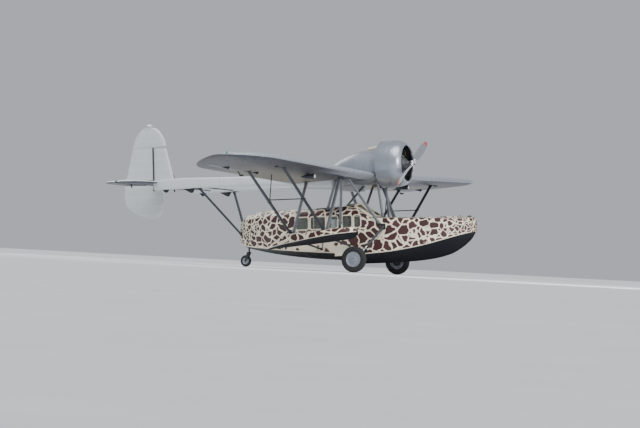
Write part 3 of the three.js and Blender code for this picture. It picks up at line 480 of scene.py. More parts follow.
def both_sides(name, form, finishes, slot="silver_dope", node=None, body=None, **looks):
    """A port piece and its mirror image, each standing for the node of its side."""
    for side, shape in (("left", form), ("right", form.flipped())):
        piece(
            f"{name}_{side}",
            shape,
            finishes,
            body=f"{body}_{side}" if body else "airframe",
            slot=slot,
            nodes=(f"{node}_{side}",) if node else (),
            **looks,
        )


# Node helpers

NUMBER, COLOUR, VECTOR = "NodeSocketFloat", "NodeSocketColor", "NodeSocketVector"


def feed(tree, socket, value):
    """Links a value that a node puts out to an input, or sets the input to a plain value."""
    value = value.socket if isinstance(value, Wire) else value
    if isinstance(value, bpy.types.NodeSocket):
        tree.links.new(value, socket)
    else:
        socket.default_value = value


def add(tree, kind, inputs=None, **settings):
    """A node with its settings and its inputs fed."""
    node = tree.nodes.new(kind)
    for name, value in settings.items():
        setattr(node, name, value)
    for name, value in (inputs or {}).items():
        feed(tree, node.inputs[name], value)
    return node


class Wire:
    """A value that a node puts out, which takes sums in its tree as a plain number does."""

    def __init__(self, tree, socket):
        self.tree = tree
        self.socket = socket

    def sum(self, operation, a, b=0.0, clamp=False):
        """The result of one sum on numbers or wires."""
        node = add(self.tree, "ShaderNodeMath", {0: a, 1: b}, operation=operation, use_clamp=clamp)
        return Wire(self.tree, node.outputs[0])

    def __add__(self, other):
        return self.sum("ADD", self, other)

    def __radd__(self, other):
        return self.sum("ADD", other, self)

    def __sub__(self, other):
        return self.sum("SUBTRACT", self, other)

    def __rsub__(self, other):
        return self.sum("SUBTRACT", other, self)

    def __mul__(self, other):
        return self.sum("MULTIPLY", self, other)

    def __truediv__(self, other):
        return self.sum("DIVIDE", self, other)

    def __pow__(self, other):
        return self.sum("POWER", self, other)

    def __abs__(self):
        return self.sum("ABSOLUTE", self)

    def below(self, limit):
        """1 where the value is under a limit, and 0 elsewhere."""
        return self.sum("LESS_THAN", self, limit)

    def rise(self, low, high, interpolation="SMOOTHSTEP"):
        """Rises from 0 to 1 as the value goes from low to high."""
        limits = {"Value": self, "From Min": low, "From Max": high}
        return wire(self.tree, "ShaderNodeMapRange", limits, "Result", interpolation_type=interpolation)

    def bay_offset(self, spacing):
        """How far the value is from the middle of its bay, as a share of the spacing."""
        return abs(self.sum("FRACT", self / spacing) - 0.5)


def wire(tree, kind, inputs=None, output=0, **settings):
    """The value that a new node puts out."""
    return Wire(tree, add(tree, kind, inputs, **settings).outputs[output])


def object_place(tree):
    """The place on the object in its own axes."""
    return wire(tree, "ShaderNodeTexCoord", output="Object")


def axes(tree, vector):
    """The three parts of a vector."""
    return [Wire(tree, socket) for socket in add(tree, "ShaderNodeSeparateXYZ", {0: vector}).outputs]


def noise(tree, place, scale, detail, output="Fac"):
    """Soft noise at a place."""
    return wire(tree, "ShaderNodeTexNoise", {"Vector": place, "Scale": scale, "Detail": detail}, output)


def cells(tree, place, scale, output, feature="F1"):
    """A pattern of irregular cells at a place."""
    return wire(tree, "ShaderNodeTexVoronoi", {"Vector": place, "Scale": scale}, output, feature=feature)


def blended(tree, factor, a, b):
    """Colour a where the factor is 0 and colour b where it is 1."""
    node = add(tree, "ShaderNodeMix", data_type="RGBA")
    for index, value in ((0, factor), (6, a), (7, b)):
        feed(tree, node.inputs[index], value)
    return Wire(tree, node.outputs[2])


def new_group(name, inputs, outputs):
    """A node group with its sockets: its tree, a reader of its inputs and a writer of its outputs."""
    tree = bpy.data.node_groups.new(name, "ShaderNodeTree")
    for label, kind, value in inputs:
        socket = tree.interface.new_socket(label, in_out="INPUT", socket_type=kind)
        socket.default_value = value
    for label, kind in outputs:
        tree.interface.new_socket(label, in_out="OUTPUT", socket_type=kind)
    start = tree.nodes.new("NodeGroupInput")
    end = tree.nodes.new("NodeGroupOutput")

    def given(label):
        return Wire(tree, start.outputs[label])

    def give(label, value):
        feed(tree, end.inputs[label], value)

    return tree, given, give


def weather_group():
    """Uneven tone, run-down grime, darkening in hollows and creases, and a fine grain over any painted
    surface.
    """
    tree, given, give = new_group(
        "weathering",
        [
            ("Paint", COLOUR, (0.5, 0.5, 0.5, 1)),
            ("Grime", COLOUR, (0.1, 0.09, 0.08, 1)),
            ("Amount", NUMBER, 0.3),
            ("Roughness", NUMBER, 0.4),
            ("Grain Scale", NUMBER, 60.0),
        ],
        [("Paint", COLOUR), ("Roughness", NUMBER), ("Height", NUMBER)],
    )
    place = object_place(tree)
    broad = noise(tree, place, 1.1, 4.0)
    streaky = wire(tree, "ShaderNodeMapping", {"Vector": place, "Scale": (9.0, 9.0, 0.9)})
    runs = noise(tree, streaky, 1.0, 3.0)
    grain = noise(tree, place, given("Grain Scale"), 2.0)
    stain = runs.rise(0.5, 0.75) * broad.rise(0.35, 0.7)
    # Darker where the surface curves inwards, in hollows and creases.
    edge = wire(tree, "ShaderNodeNewGeometry", output="Pointiness")
    hollow = 1.0 - edge.rise(0.42, 0.5)
    stain_and_hollows = stain.sum("MAXIMUM", stain, hollow * 0.6)
    factor = stain_and_hollows.sum("MULTIPLY", stain_and_hollows, given("Amount"), clamp=True)
    tone = 0.9 + broad * 0.2
    toned = wire(tree, "ShaderNodeVectorMath", {0: given("Paint"), "Scale": tone}, operation="SCALE")
    give("Paint", blended(tree, factor, toned, given("Grime")))
    rough = given("Roughness") + stain_and_hollows * 0.25
    give("Roughness", rough.sum("ADD", rough, grain * 0.06, clamp=True))
    give("Height", grain)
    return tree


def patches_group():
    """Irregular patches between pale lines, which shrink smoothly towards both ends of the hull."""
    tree, given, give = new_group(
        "patched coat",
        [
            ("Middle", NUMBER, 1.79),
            ("Level", NUMBER, 1.2),
            ("Broad", NUMBER, 4.3),
            ("Shrink", NUMBER, 0.07),
            ("Line", NUMBER, 0.095),
            ("Float Side", NUMBER, FLOAT_Y),
        ],
        [("Patch", NUMBER), ("Tone", NUMBER)],
    )
    place = object_place(tree)
    sway = {0: noise(tree, place, 4.5, 2.0, "Color"), 1: (0.16, 0.16, 0.16), 2: place}
    x, y, z = axes(tree, wire(tree, "ShaderNodeVectorMath", sway, operation="MULTIPLY_ADD"))
    off = x - given("Middle")
    growth = abs(off) ** 4.0 * given("Shrink")
    size = given("Broad") + growth
    mean = given("Broad") + growth / 5.0
    on_float = y.sum("GREATER_THAN", abs(y), 1.6)
    centre = y.sum("SIGN", y) * given("Float Side")
    across = y - centre * on_float
    above = z - given("Level")
    spot = wire(tree, "ShaderNodeCombineXYZ", {0: off * mean, 1: across * size, 2: above * size})
    edge = cells(tree, spot, 1.0, "Distance", "DISTANCE_TO_EDGE")
    colour = cells(tree, spot, 1.0, "Color")
    low = (z * -1.0).rise(-0.9, -0.62)
    middle = 1.0 - abs(off + 0.7).rise(0.5, 1.1)
    line = given("Line") + low * middle * 0.2
    give("Patch", edge.rise(line * 0.8, line, "LINEAR"))
    give("Tone", colour)
    return tree


def tapes_group():
    """Raised tapes over the ribs of a fabric surface, with stitches along them."""
    tree, given, give = new_group(
        "rib tapes",
        [("Across", VECTOR, (0.0, 1.0, 0.0)), ("Spacing", NUMBER, 0.3), ("Width", NUMBER, 0.05)],
        [("Tape", NUMBER), ("Height", NUMBER)],
    )
    place = object_place(tree)
    parts = {0: place, 1: given("Across")}
    along = wire(tree, "ShaderNodeVectorMath", parts, "Value", operation="DOT_PRODUCT")
    off = along.bay_offset(given("Spacing"))
    reach = off * given("Spacing")
    tape = reach.below(given("Width") * 0.5)
    stitch = axes(tree, place)[0] * 14.0
    knot = stitch.sum("FRACT", stitch).below(0.2) * reach.below(0.006)
    crown = 1.0 - off * 2.0
    height = tape * 0.5 + knot * 0.4 + crown * 1.5
    give("Tape", tape)
    give("Height", height)
    return tree


def plates_group():
    """Seams between metal plates with a row of rivets on each side of them."""
    tree, given, give = new_group(
        "riveted plates",
        [("Spacing", NUMBER, 0.55), ("Pitch", NUMBER, 0.05)],
        [("Seam", NUMBER), ("Height", NUMBER)],
    )
    x, y, z = axes(tree, object_place(tree))
    off = x.bay_offset(given("Spacing")) * given("Spacing")
    seam = off.below(0.003)
    dot = (y + z).bay_offset(given("Pitch")) * given("Pitch")
    row = abs(off - 0.02)
    squares = dot**2.0 + row**2.0
    rivet = squares.sum("SQRT", squares).below(0.006)
    height = rivet - seam
    give("Seam", seam)
    give("Height", height)
    return tree


GROUP_MAKERS = {
    "weather": weather_group, "patches": patches_group, "tapes": tapes_group, "plates": plates_group,
}
GROUPS = {}


def use(tree, name, inputs):
    """A shared group, built the first time that a finish needs it, placed with its own values."""
    if name not in GROUPS:
        GROUPS[name] = GROUP_MAKERS[name]()
    return add(tree, "ShaderNodeGroup", inputs, node_tree=GROUPS[name])


# Finishes


def palette():
    """The colours that the user can change."""
    return bpy.context.scene.flying_boat_colours


def sizes():
    """The sizes that the user can change."""
    return bpy.context.scene.flying_boat_sizes


def rgba(colour, lighter=1.0):
    """A colour property as four numbers, made lighter if asked."""
    return (*(min(1.0, c * lighter) for c in colour[:3]), 1.0)


def blank(name):
    """An empty material with its tree and Principled shader."""
    material = bpy.data.materials.new(name)
    material.use_nodes = True
    tree = material.node_tree
    tree.nodes.clear()
    shader = tree.nodes.new("ShaderNodeBsdfPrincipled")
    end = tree.nodes.new("ShaderNodeOutputMaterial")
    tree.links.new(shader.outputs[0], end.inputs[0])
    return material, tree, shader


def bump(tree, shader, height, strength, distance):
    """Lets a height show as a bump on the shader."""
    node = add(tree, "ShaderNodeBump", {"Height": height, "Strength": strength, "Distance": distance})
    tree.links.new(node.outputs[0], shader.inputs["Normal"])


def painted(name, colour, rough, metal, grime, coat=0.0, grain=60.0, base=None, height=None):
    """A painted or metal finish with weathering; base may make the colour and height more relief."""
    material, tree, shader = blank(name)
    if base:
        paint = base(tree)
    else:
        paint = rgba(getattr(palette(), colour) if isinstance(colour, str) else colour)
    aged = use(tree, "weather", {"Paint": paint, "Amount": grime, "Roughness": rough, "Grain Scale": grain})
    feed(tree, shader.inputs["Base Color"], aged.outputs["Paint"])
    feed(tree, shader.inputs["Roughness"], aged.outputs["Roughness"])
    feed(tree, shader.inputs["Metallic"], metal)
    feed(tree, shader.inputs["Coat Weight"], coat)
    feed(tree, shader.inputs["Coat Roughness"], 0.12)
    relief = Wire(tree, aged.outputs["Height"])
    if height:
        relief = relief * 0.08 + height(tree)
    bump(tree, shader, relief, 0.35, 0.004 if height else 0.001)
    return material


def seams(spacing):
    """The relief of riveted plates of a length, for a painted finish."""

    def height(tree):
        return use(tree, "plates", {"Spacing": spacing, "Pitch": sizes().rivet_pitch}).outputs["Height"]

    return height


def hull_coat(name):
    """Cream paint with irregular dark red-brown patches, on the hull and the floats."""

    def base(tree):
        colours = palette()
        spots = use(tree, "patches", {})
        brown = blended(tree, spots.outputs["Tone"], rgba(colours.patch), rgba(colours.patch_light))
        return blended(tree, spots.outputs["Patch"], rgba(colours.cream), brown)

    return painted(name, None, 0.4, 0.0, 0.22, 0.2, base=base, height=seams(0.42))


def bottom_paint(name):
    """Black bottom paint, a little scuffed and dried with water marks."""
    material = painted(name, "bottom", 0.38, 0.0, 0.02, grain=25.0)
    material.node_tree.nodes["Principled BSDF"].inputs["Specular IOR Level"].default_value = 0.25
    return material


def silver_sheet(name):
    """Silver-painted sheet metal with plate seams and rivets."""
    return painted(name, "silver", 0.34, 0.55, 0.25, height=seams(0.5))


def pale_sheet(name):
    """Pale painted sheet metal of the booms."""
    return painted(name, "tail", 0.36, 0.15, 0.2, height=seams(0.62))


def cowl_metal(name):
    """Smoother and brighter spun metal of the cowl ring."""
    return painted(name, rgba(palette().silver, 1.12), 0.27, 0.7, 0.15, 0.15)


def leather(name):
    """Worn brown leather with a pebbled grain."""
    material, tree, shader = blank(name)
    place = object_place(tree)
    pebbles = cells(tree, place, 260.0, "Distance")
    broad = noise(tree, place, 9.0, 5.0)
    hide = palette().leather
    worn = blended(tree, broad.rise(0.45, 0.75), rgba(hide), rgba(hide, 1.9))
    feed(tree, shader.inputs["Base Color"], worn)
    feed(tree, shader.inputs["Roughness"], 0.45 + broad * 0.25)
    bump(tree, shader, pebbles, 0.4, 0.0008)
    return material


def window_glass(name):
    """Slightly grey-green window glass with a dusty film."""
    material, tree, shader = blank(name)
    film = noise(tree, object_place(tree), 5.0, 6.0)
    rough = film.rise(0.35, 0.8) * 0.12
    tint = blended(tree, film, rgba(palette().glass), (0.78, 0.82, 0.8, 1.0))
    feed(tree, shader.inputs["Base Color"], tint)
    feed(tree, shader.inputs["Roughness"], rough)
    feed(tree, shader.inputs["Transmission Weight"], 0.9)
    feed(tree, shader.inputs["IOR"], 1.2)
    return material


def painted_underside_shade(ahead, out):
    """Painted shade on the wing's lower fabric: darker towards its front and its tips."""
    tip = out.rise(4.4, 6.6) * 0.8
    return tip.sum("MAXIMUM", ahead.rise(0.95, 1.85), tip)


def edge_shade(_ahead, out):
    """Painted shade on the lower side of the leading edge: silver over the cabin, dark towards the tips."""
    return out.rise(1.4, 3.9)


def fabric(name, colour, grime, metal, show, shade=None, upright=False):
    """Doped fabric with tapes over its ribs, which stand across the span or one above another, and painted
    shade where a shade is given.
    """
    dope = getattr(palette(), colour)
    layout = {"Across": (0.0, 1.0, 0.0), "Spacing": sizes().rib_spacing, "Width": sizes().tape_width}
    if upright:
        layout.update({"Across": (-math.sin(PITCH), 0.0, math.cos(PITCH)), "Spacing": 0.24})

    def base(tree):
        tape = Wire(tree, use(tree, "tapes", layout).outputs["Tape"])
        cloth = blended(tree, tape * show, rgba(dope), rgba(dope, 1.17))
        if shade is None:
            return cloth
        # Painted shade: where the shade gives 1, the cloth takes the dark shade colour.
        x, y, _ = axes(tree, object_place(tree))
        return blended(tree, shade(x, abs(y)), cloth, rgba(palette().underside_front))

    def height(tree):
        return use(tree, "tapes", layout).outputs["Height"]

    return painted(name, None, 0.42, metal, grime, grain=900.0, base=base, height=height)


# Columns: colour or its name in the palette, roughness, metal, grime, clear coat, scale of the grain
PAINTS = {
    "cream paint": ("cream", 0.36, 0.0, 0.25, 0.3),
    "slate strut enamel": ("strut", 0.38, 0.1, 0.2, 0.15),
    # A lighter copy of the strut paint: painted light on struts that face the light.
    "faded strut enamel": ("pale_strut", 0.36, 0.25, 0.3, 0.2),
    "dark steel": ((0.05, 0.055, 0.06), 0.42, 0.8, 0.25),
    "bright metal": ((0.62, 0.64, 0.66), 0.22, 1.0, 0.1, 0.0, 200.0),
    # Dark crankcase enamel, made darker still as painted shade inside the cowl.
    "crankcase enamel": ((0.085, 0.09, 0.1), 0.45, 0.5, 0.35, 0.0, 120.0),
    "cylinder enamel": ((0.035, 0.036, 0.038), 0.5, 0.4, 0.2, 0.0, 120.0),
    "hatch enamel": ((0.02, 0.022, 0.026), 0.16, 0.0, 0.12, 0.6),
    "tyre rubber": ((0.022, 0.022, 0.023), 0.78, 0.0, 0.45, 0.0, 300.0),
    "red enamel": ("signal", 0.3, 0.0, 0.15, 0.3),
    "vent paint": ((0.72, 0.66, 0.5), 0.4, 0.0, 0.25),
    "burnt exhaust steel": ((0.16, 0.11, 0.08), 0.55, 0.8, 0.6),
    "ignition lead": ((0.25, 0.2, 0.08), 0.5, 0.0, 0.3),
    "dial face": ((0.015, 0.015, 0.016), 0.3, 0.0, 0.05),
    "dial pointer": ((0.8, 0.8, 0.75), 0.5, 0.0, 0.05),
    "varnished wheel": ((0.2, 0.08, 0.03), 0.25, 0.0, 0.2, 0.6),
    "panel enamel": ((0.04, 0.042, 0.045), 0.5, 0.0, 0.2),
    "lamp lens": ((0.85, 0.87, 0.88), 0.08, 0.1, 0.05, 1.0, 40.0),
    "green lens": ((0.02, 0.3, 0.09), 0.08, 0.1, 0.05, 1.0, 40.0),
    "white beacon": ((0.85, 0.86, 0.86), 0.08, 0.1, 0.05, 1.0, 40.0),
    "floor paint": ((0.72, 0.74, 0.76), 0.9, 0.0, 0.0, 0.0, 8.0),
}
# Columns: name in the palette, grime, metal, how far the tapes show, the painted shade that darkens it,
# whether upright
FABRICS = {
    "doped wing fabric": ("silver", 0.2, 0.25, 0.7),
    # Lower wing fabric: real stains, with painted shade towards its front and tips.
    "stained wing fabric": ("underside", 0.5, 0.0, 0.7, painted_underside_shade),
    "leading edge fabric": ("silver", 0.2, 0.1, 0.7, edge_shade),
    "pale tail fabric": ("tail", 0.12, 0.25, 0.25),
    "slate tail fabric": ("underside_front", 0.2, 0.0, 0.4),
    "pale fin fabric": ("tail", 0.12, 0.25, 0.25, None, True),
}
FINISH_MAKERS = {
    "hull coat": hull_coat,
    "bottom paint": bottom_paint,
    "silver sheet metal": silver_sheet,
    "pale sheet metal": pale_sheet,
    "spun cowl metal": cowl_metal,
    "seat leather": leather,
    "window glass": window_glass,
}
FINISHES = {}


def finish(name):
    """The material of a name, made the first time that a piece needs it."""
    if name not in FINISHES:
        if name in PAINTS:
            FINISHES[name] = painted(name, *PAINTS[name])
        elif name in FABRICS:
            FINISHES[name] = fabric(name, *FABRICS[name])
        else:
            FINISHES[name] = FINISH_MAKERS[name](name)
    return FINISHES[name]


# Hull

HULL_COATS = ("hull coat", "bottom paint", "cream paint")


class Skin:
    """Sections of a boat form: each runs from the crown down the port side and up to starboard."""

    def __init__(self, rows, levels=None, marks=(), middle_y=0.0):
        names = ("keel_z", "chine_z", "chine_y", "sheer_z", "sheer_y", "deck_z")
        self.lines = dict(zip(names, columns(rows)))
        self.levels = levels
        self.marks = marks
        self.middle_y = middle_y

    def deck(self, x, y, lift=0.0):
        """The point of the deck at x and y, lifted square to it."""
        wide = self.lines["sheer_y"](x)
        low, high = self.lines["sheer_z"](x), self.lines["deck_z"](x)
        share = min(abs(y) / wide, 1.0)
        return Vector((x, y + self.middle_y, low + (high - low) * math.sqrt(1 - share**2) + lift))

    def flank(self, x, z):
        """How far the hull's side stands out at x and z."""
        wide, high = self.lines["sheer_y"](x), self.lines["sheer_z"](x)
        share = (high - z) / (high - self.lines["chine_z"](x))
        bulge = 0.012 * math.sin(math.pi * share) * min(1, wide / 0.4)
        return wide + (self.lines["chine_y"](x) - wide) * share + bulge

    def half(self, x):
        """Points of the port half from crown to keel, with a note of what each strip is."""
        at = {name: line(x) for name, line in self.lines.items()}
        wide = at["sheer_y"]
        stops = [0.0] + [min(m, wide * (0.75 + 0.2 * i / len(self.marks))) for i, m in enumerate(self.marks)]
        turns = [math.asin(min(1.0, s / wide)) for s in stops] + [math.pi / 2]
        points, strips = [], []
        for k, (a, b) in enumerate(zip(turns, turns[1:])):
            count = 3 if self.marks else 9
            for i in range(count):
                t = a + (b - a) * i / count
                z = at["sheer_z"] + (at["deck_z"] - at["sheer_z"]) * math.cos(t)
                points.append((x, wide * math.sin(t), z))
                strips.append(("deck", k))
        heights = self.levels or spread(at["sheer_z"], at["chine_z"], 6)[1:-1]
        heights = [min(h, at["sheer_z"] - 0.004 * (k + 1)) for k, h in enumerate(heights)]
        heights = [at["sheer_z"], *heights, at["chine_z"]]
        for k, height in enumerate(heights[:-1]):
            points.append((x, self.flank(x, height), height))
            strips.append(("side", k))
        for i, t in enumerate(spread(0, 1, 5)):
            sag = 0.02 * math.sin(math.pi * t) * min(1, wide / 0.4)
            z = at["chine_z"] + (at["keel_z"] - at["chine_z"]) * t + sag
            points.append((x, at["chine_y"] * (1 - t), z))
            if i < 4:
                strips.append(("bottom", i))
        return points, strips

    def ring(self, x):
        """The whole section as one closed ring, and what each of its strips is."""
        points, strips = self.half(x)
        other = [(px, -py, pz) for px, py, pz in reversed(points[1:-1])]
        ring = [Vector((px, py + self.middle_y, pz)) for px, py, pz in points + other]
        return ring, strips + strips[::-1]


def skin_form(skin, places, keep=None, round_nose=0.0):
    """Skins a boat form over the places given; the bottom gets the second finish."""
    form = Form()
    rings = []
    for x in places:
        ring, strips = skin.ring(x)
        rings.append(ring)
    base = Vector((places[0], skin.middle_y, skin.lines["chine_z"](places[0])))
    nose = []
    for lean in (80, 60, 40, 20) if round_nose else ():
        drawn = 1 - math.cos(math.radians(lean))
        ahead = Vector((round_nose * math.sin(math.radians(lean)), 0, 0))
        shrink = Matrix.Diagonal((1, 1 - 0.28 * drawn, 1 - 0.09 * drawn))
        nose.append([base + ahead + shrink @ (p - base) for p in rings[0]])
    rings = nose + rings
    places = [places[0]] * len(nose) + list(places)

    def finish_of(_, i):
        return 1 if strips[i][0] == "bottom" else 0

    def keep_cell(r, i):
        return keep is None or keep((places[r] + places[r + 1]) / 2, strips[i])

    form.rings(rings, finish_of=finish_of, keep=keep_cell)
    return form


def rounded_frame(x0, x1, z0, z1, radius):
    """The (x, z) path of a rectangle with round corners."""
    path = []
    for cx, cz, quarter in ((x1, z1, 0), (x0, z1, 1), (x0, z0, 2), (x1, z0, 3)):
        mid_x = cx - math.copysign(radius, cx - (x0 + x1) / 2)
        mid_z = cz - math.copysign(radius, cz - (z0 + z1) / 2)
        for share in spread(0, 1, 6):
            a = (quarter + share) * math.pi / 2
            path.append((mid_x + radius * math.cos(a), mid_z + radius * math.sin(a)))
    return path


def hull_bow():
    """The bow with its deck hatch opening and locker."""
    skin = Skin(FOREBODY, marks=(BOW_HATCH["half"],))
    front, rear, half = BOW_HATCH["front"], BOW_HATCH["rear"], BOW_HATCH["half"]
    places = filled([2.48, 2.47, 2.455, 2.435, 2.415, 2.395, front, rear, CABIN_NOSE_X], 0.07)

    def keep(x, strip):
        return not (strip == ("deck", 0) and rear < x < front)

    form = skin_form(skin, places, keep, 0.03)
    foot = [(rear, -half), (front, -half), (front, half), (rear, half)]
    floor = [(x, y, BOW_HATCH["floor"]) for x, y in foot]
    rim = [(x, y, skin.deck(x, half).z - 0.002) for x, y in foot]
    walls = [(i, (i + 1) % 4, (i + 1) % 4 + 4, i + 4) for i in range(4)]
    form.put(floor + rim, [*walls, (0, 1, 2, 3)], 2)
    piece("bow_skin", form, HULL_COATS, slot="hull_paint", nodes=("hull_bow",))
    cleat = Form()
    cleat.block((2.3, -0.04, -1.16), (2.39, 0.04, -1.12))
    cleat.tube([(2.315, 0, -1.125), (2.32, 0, -1.1), (2.37, 0, -1.1), (2.375, 0, -1.125)], 0.007, 10)
    for dx in (2.31, 2.38):
        for dy in (-0.028, 0.028):
            cleat.domed((dx, dy, -1.12), (0, 0, 1), 0.007, 0.005, 6)
    piece("mooring_cleat", cleat, ["dark steel"], slot="hull_paint", bevel=0.003)


def hull_cabin():
    """The cabin's skin with its windows, windscreen and hatch openings, and the floor inside."""
    deck_marks = (WINDSCREEN["post"], HATCH["half"], WINDSCREEN["half"])
    front, aft = (Skin(rows, CABIN_LEVELS, deck_marks) for rows in (FOREBODY, AFTERBODY))
    hatch_edges = (HATCH["middle"] + HATCH["bar"], HATCH["middle"] - HATCH["bar"])
    marks = [x for pair in SIDE_WINDOWS for x in pair]
    marks += [WINDSCREEN["front"], WINDSCREEN["rear"], HATCH["front"], HATCH["rear"], *hatch_edges]
    marks += [row[0] for row in FOREBODY if STEP_X < row[0] < 0]

    ahead = filled([x for x in marks if x > STEP_X] + [CABIN_NOSE_X, STEP_X], 0.09)
    places = ahead + filled([x for x in marks if x < STEP_X] + [CABIN_TAIL_X, STEP_X], 0.09)
    rings = []
    for i, x in enumerate(places):
        ring, strips = (front if i < len(ahead) else aft).ring(x)
        rings.append(ring)

    def finish_of(r, i):
        kind, k = strips[i]
        if kind == "deck" and k == 0 and WINDSCREEN["rear"] < places[r] <= WINDSCREEN["front"]:
            return 2
        return 1 if kind == "bottom" else 0

    def keep(r, i):
        x = (places[r] + places[r + 1]) / 2
        kind, k = strips[i]
        if kind == "side" and k in (1, 2):
            return not any(a < x < b for a, b in SIDE_WINDOWS)
        if kind == "deck" and k in (1, 2) and WINDSCREEN["rear"] < x < WINDSCREEN["front"]:
            return False
        if kind == "deck" and k in (0, 1):
            return not (HATCH["rear"] < x < hatch_edges[1] or hatch_edges[0] < x < HATCH["front"])
        return True

    form = Form()
    form.rings(rings, caps=False, finish_of=finish_of, keep=keep)
    nodes = ("hull_cabin", "cabin_bottom", "cabin_roof")
    piece("cabin_skin", form, HULL_COATS, slot="hull_paint", nodes=nodes, shell=0.03)
    inside = Form()
    inside.block((CABIN_TAIL_X + 0.01, -0.6, CABIN_FLOOR_Z - 0.02), (CABIN_NOSE_X - 0.01, 0.6, CABIN_FLOOR_Z))
    for x in (CABIN_TAIL_X + 0.02, CABIN_NOSE_X - 0.03):
        top = -0.8 if x < -1 else -1.08
        inside.block((x, -0.6, CABIN_FLOOR_Z), (x + 0.015, 0.6, top))
    for x in (-0.25, -1.05, -1.25, -1.65):
        for y in (-0.57, 0.545):
            inside.block((x - 0.012, y, CABIN_FLOOR_Z), (x + 0.012, y + 0.025, -1.0))
    piece("cabin_floor_and_frames", inside, ["cream paint"], slot="hull_paint", bevel=0.002)


def hull_stern():
    """The stern with its two portholes."""
    skin = Skin(AFTERBODY)
    places = filled([CABIN_TAIL_X, -3.72, -3.83, -3.885, -3.91, -3.93], 0.08)
    form = skin_form(skin, places)
    piece("stern_skin", form, ["hull coat", "bottom paint"], slot="hull_paint", nodes=("hull_aft",))
    port = Form()
    rim = [(0.112, -0.02), (0.112, 0.014), (0.1, 0.022), (0.088, 0.022), (0.084, 0.012), (0.084, -0.02)]
    for side in (1, -1):
        centre = PORTHOLE + Vector((0, side * (skin.lines["sheer_y"](PORTHOLE.x) - 0.02), 0))
        out = Vector((-0.25, side, 0)).normalized()
        port.turned(rim, centre, out, 32, 0)
        port.turned([(0.085, -0.02), (0.085, 0.008), (0.001, 0.01)], centre, out, 32, 1)
        u, v = cross_axes(out)
        for a in angles(8):
            spot = centre + (u * math.cos(a) + v * math.sin(a)) * 0.105
            port.domed(spot + out * 0.016, out, 0.006, 0.005, 8, 2)
    piece("portholes", port, ["cream paint", "window glass", "dark steel"], slot="hull_paint")


def hull_trim():
    """Chine rails, keel strip, window frames and windscreen bars."""
    bow, stern = Skin(FOREBODY), Skin(AFTERBODY)
    rail = Form()
    section = [(-0.012, 0.0), (-0.012, 0.01), (0.0, 0.022), (0.012, 0.01), (0.012, 0.0)]
    for skin, start, end in ((bow, 2.45, STEP_X), (stern, STEP_X - 0.01, -3.84)):
        wide, high = skin.lines["chine_y"], skin.lines["chine_z"]
        path = [(x, wide(x) + 0.002, high(x) + 0.012) for x in spread(start, end, 40)]
        rail.swept(path, section, (0, 1, 0.25), 0)
    rail.mirror()
    stem = filled([2.478, 2.465, 2.45, 2.43, 2.41, 2.38, 2.34, -1.04], 0.12)
    keel = [(x, 0, bow.lines["keel_z"](x) + 0.004) for x in stem]
    rail.swept(keel, [(-0.02, 0.01), (-0.014, -0.016), (0.014, -0.016), (0.02, 0.01)], (0, 0, 1), 1)
    piece("chine_rails", rail, ["cream paint", "bottom paint"], slot="hull_paint")
    frames = Form()
    section = [(-0.004, -0.03), (-0.004, 0.008), (0.006, 0.013), (0.024, 0.01), (0.026, -0.004)]
    for x0, x1 in SIDE_WINDOWS:
        skin = bow if x0 > STEP_X else stern
        path = rounded_frame(x0, x1, WINDOW_BOTTOM, WINDOW_TOP, 0.045)
        frames.swept([(x, skin.flank(x, z) + 0.001, z) for x, z in path], section, (0, 1, 0), 0, True)
        path = rounded_frame(x0 + 0.006, x1 - 0.006, WINDOW_BOTTOM + 0.006, WINDOW_TOP - 0.006, 0.04)
        frames.tube([(x, skin.flank(x, z) - 0.037, z) for x, z in path], 0.006, 6, 1, closed=True)
    frames.mirror()
    piece("window_frames", frames, ["cream paint", "dark steel"], slot="hull_paint")
    bars = Form()
    flat = strip(0.022, -0.006, 0.012)
    front, rear, half = WINDSCREEN["front"], WINDSCREEN["rear"], WINDSCREEN["half"]
    for y in (0.0, half, -half):
        rail = [bow.deck(x, y) for x in spread(front + 0.02, rear - 0.02, 9)]
        bars.swept(rail, flat, (0.45, y * 0.9, 1), 0)
    for x in (front, rear):
        bars.swept([bow.deck(x, y) for y in spread(-half - 0.02, half + 0.02, 15)], flat, (0.5, 0, 1), 0)
    piece("windscreen_bars", bars, ["cream paint"], slot="hull_paint", bevel=0.002)


def deck_lid(x0, x1, half, count, thick):
    """A lid that follows the deck just above it, with its edge turned down."""
    bow, aft = Skin(FOREBODY), Skin(AFTERBODY)
    form = Form()
    ys = spread(-half, half, count)
    rings = []
    for x in spread(x0, x1, 6):
        skin = bow if x > STEP_X else aft
        low = [skin.deck(x, y, 0.0015) for y in ys]
        rings.append(low + [skin.deck(x, y, 0.0015 + thick) for y in reversed(ys)])
    form.rings(rings)
    return form


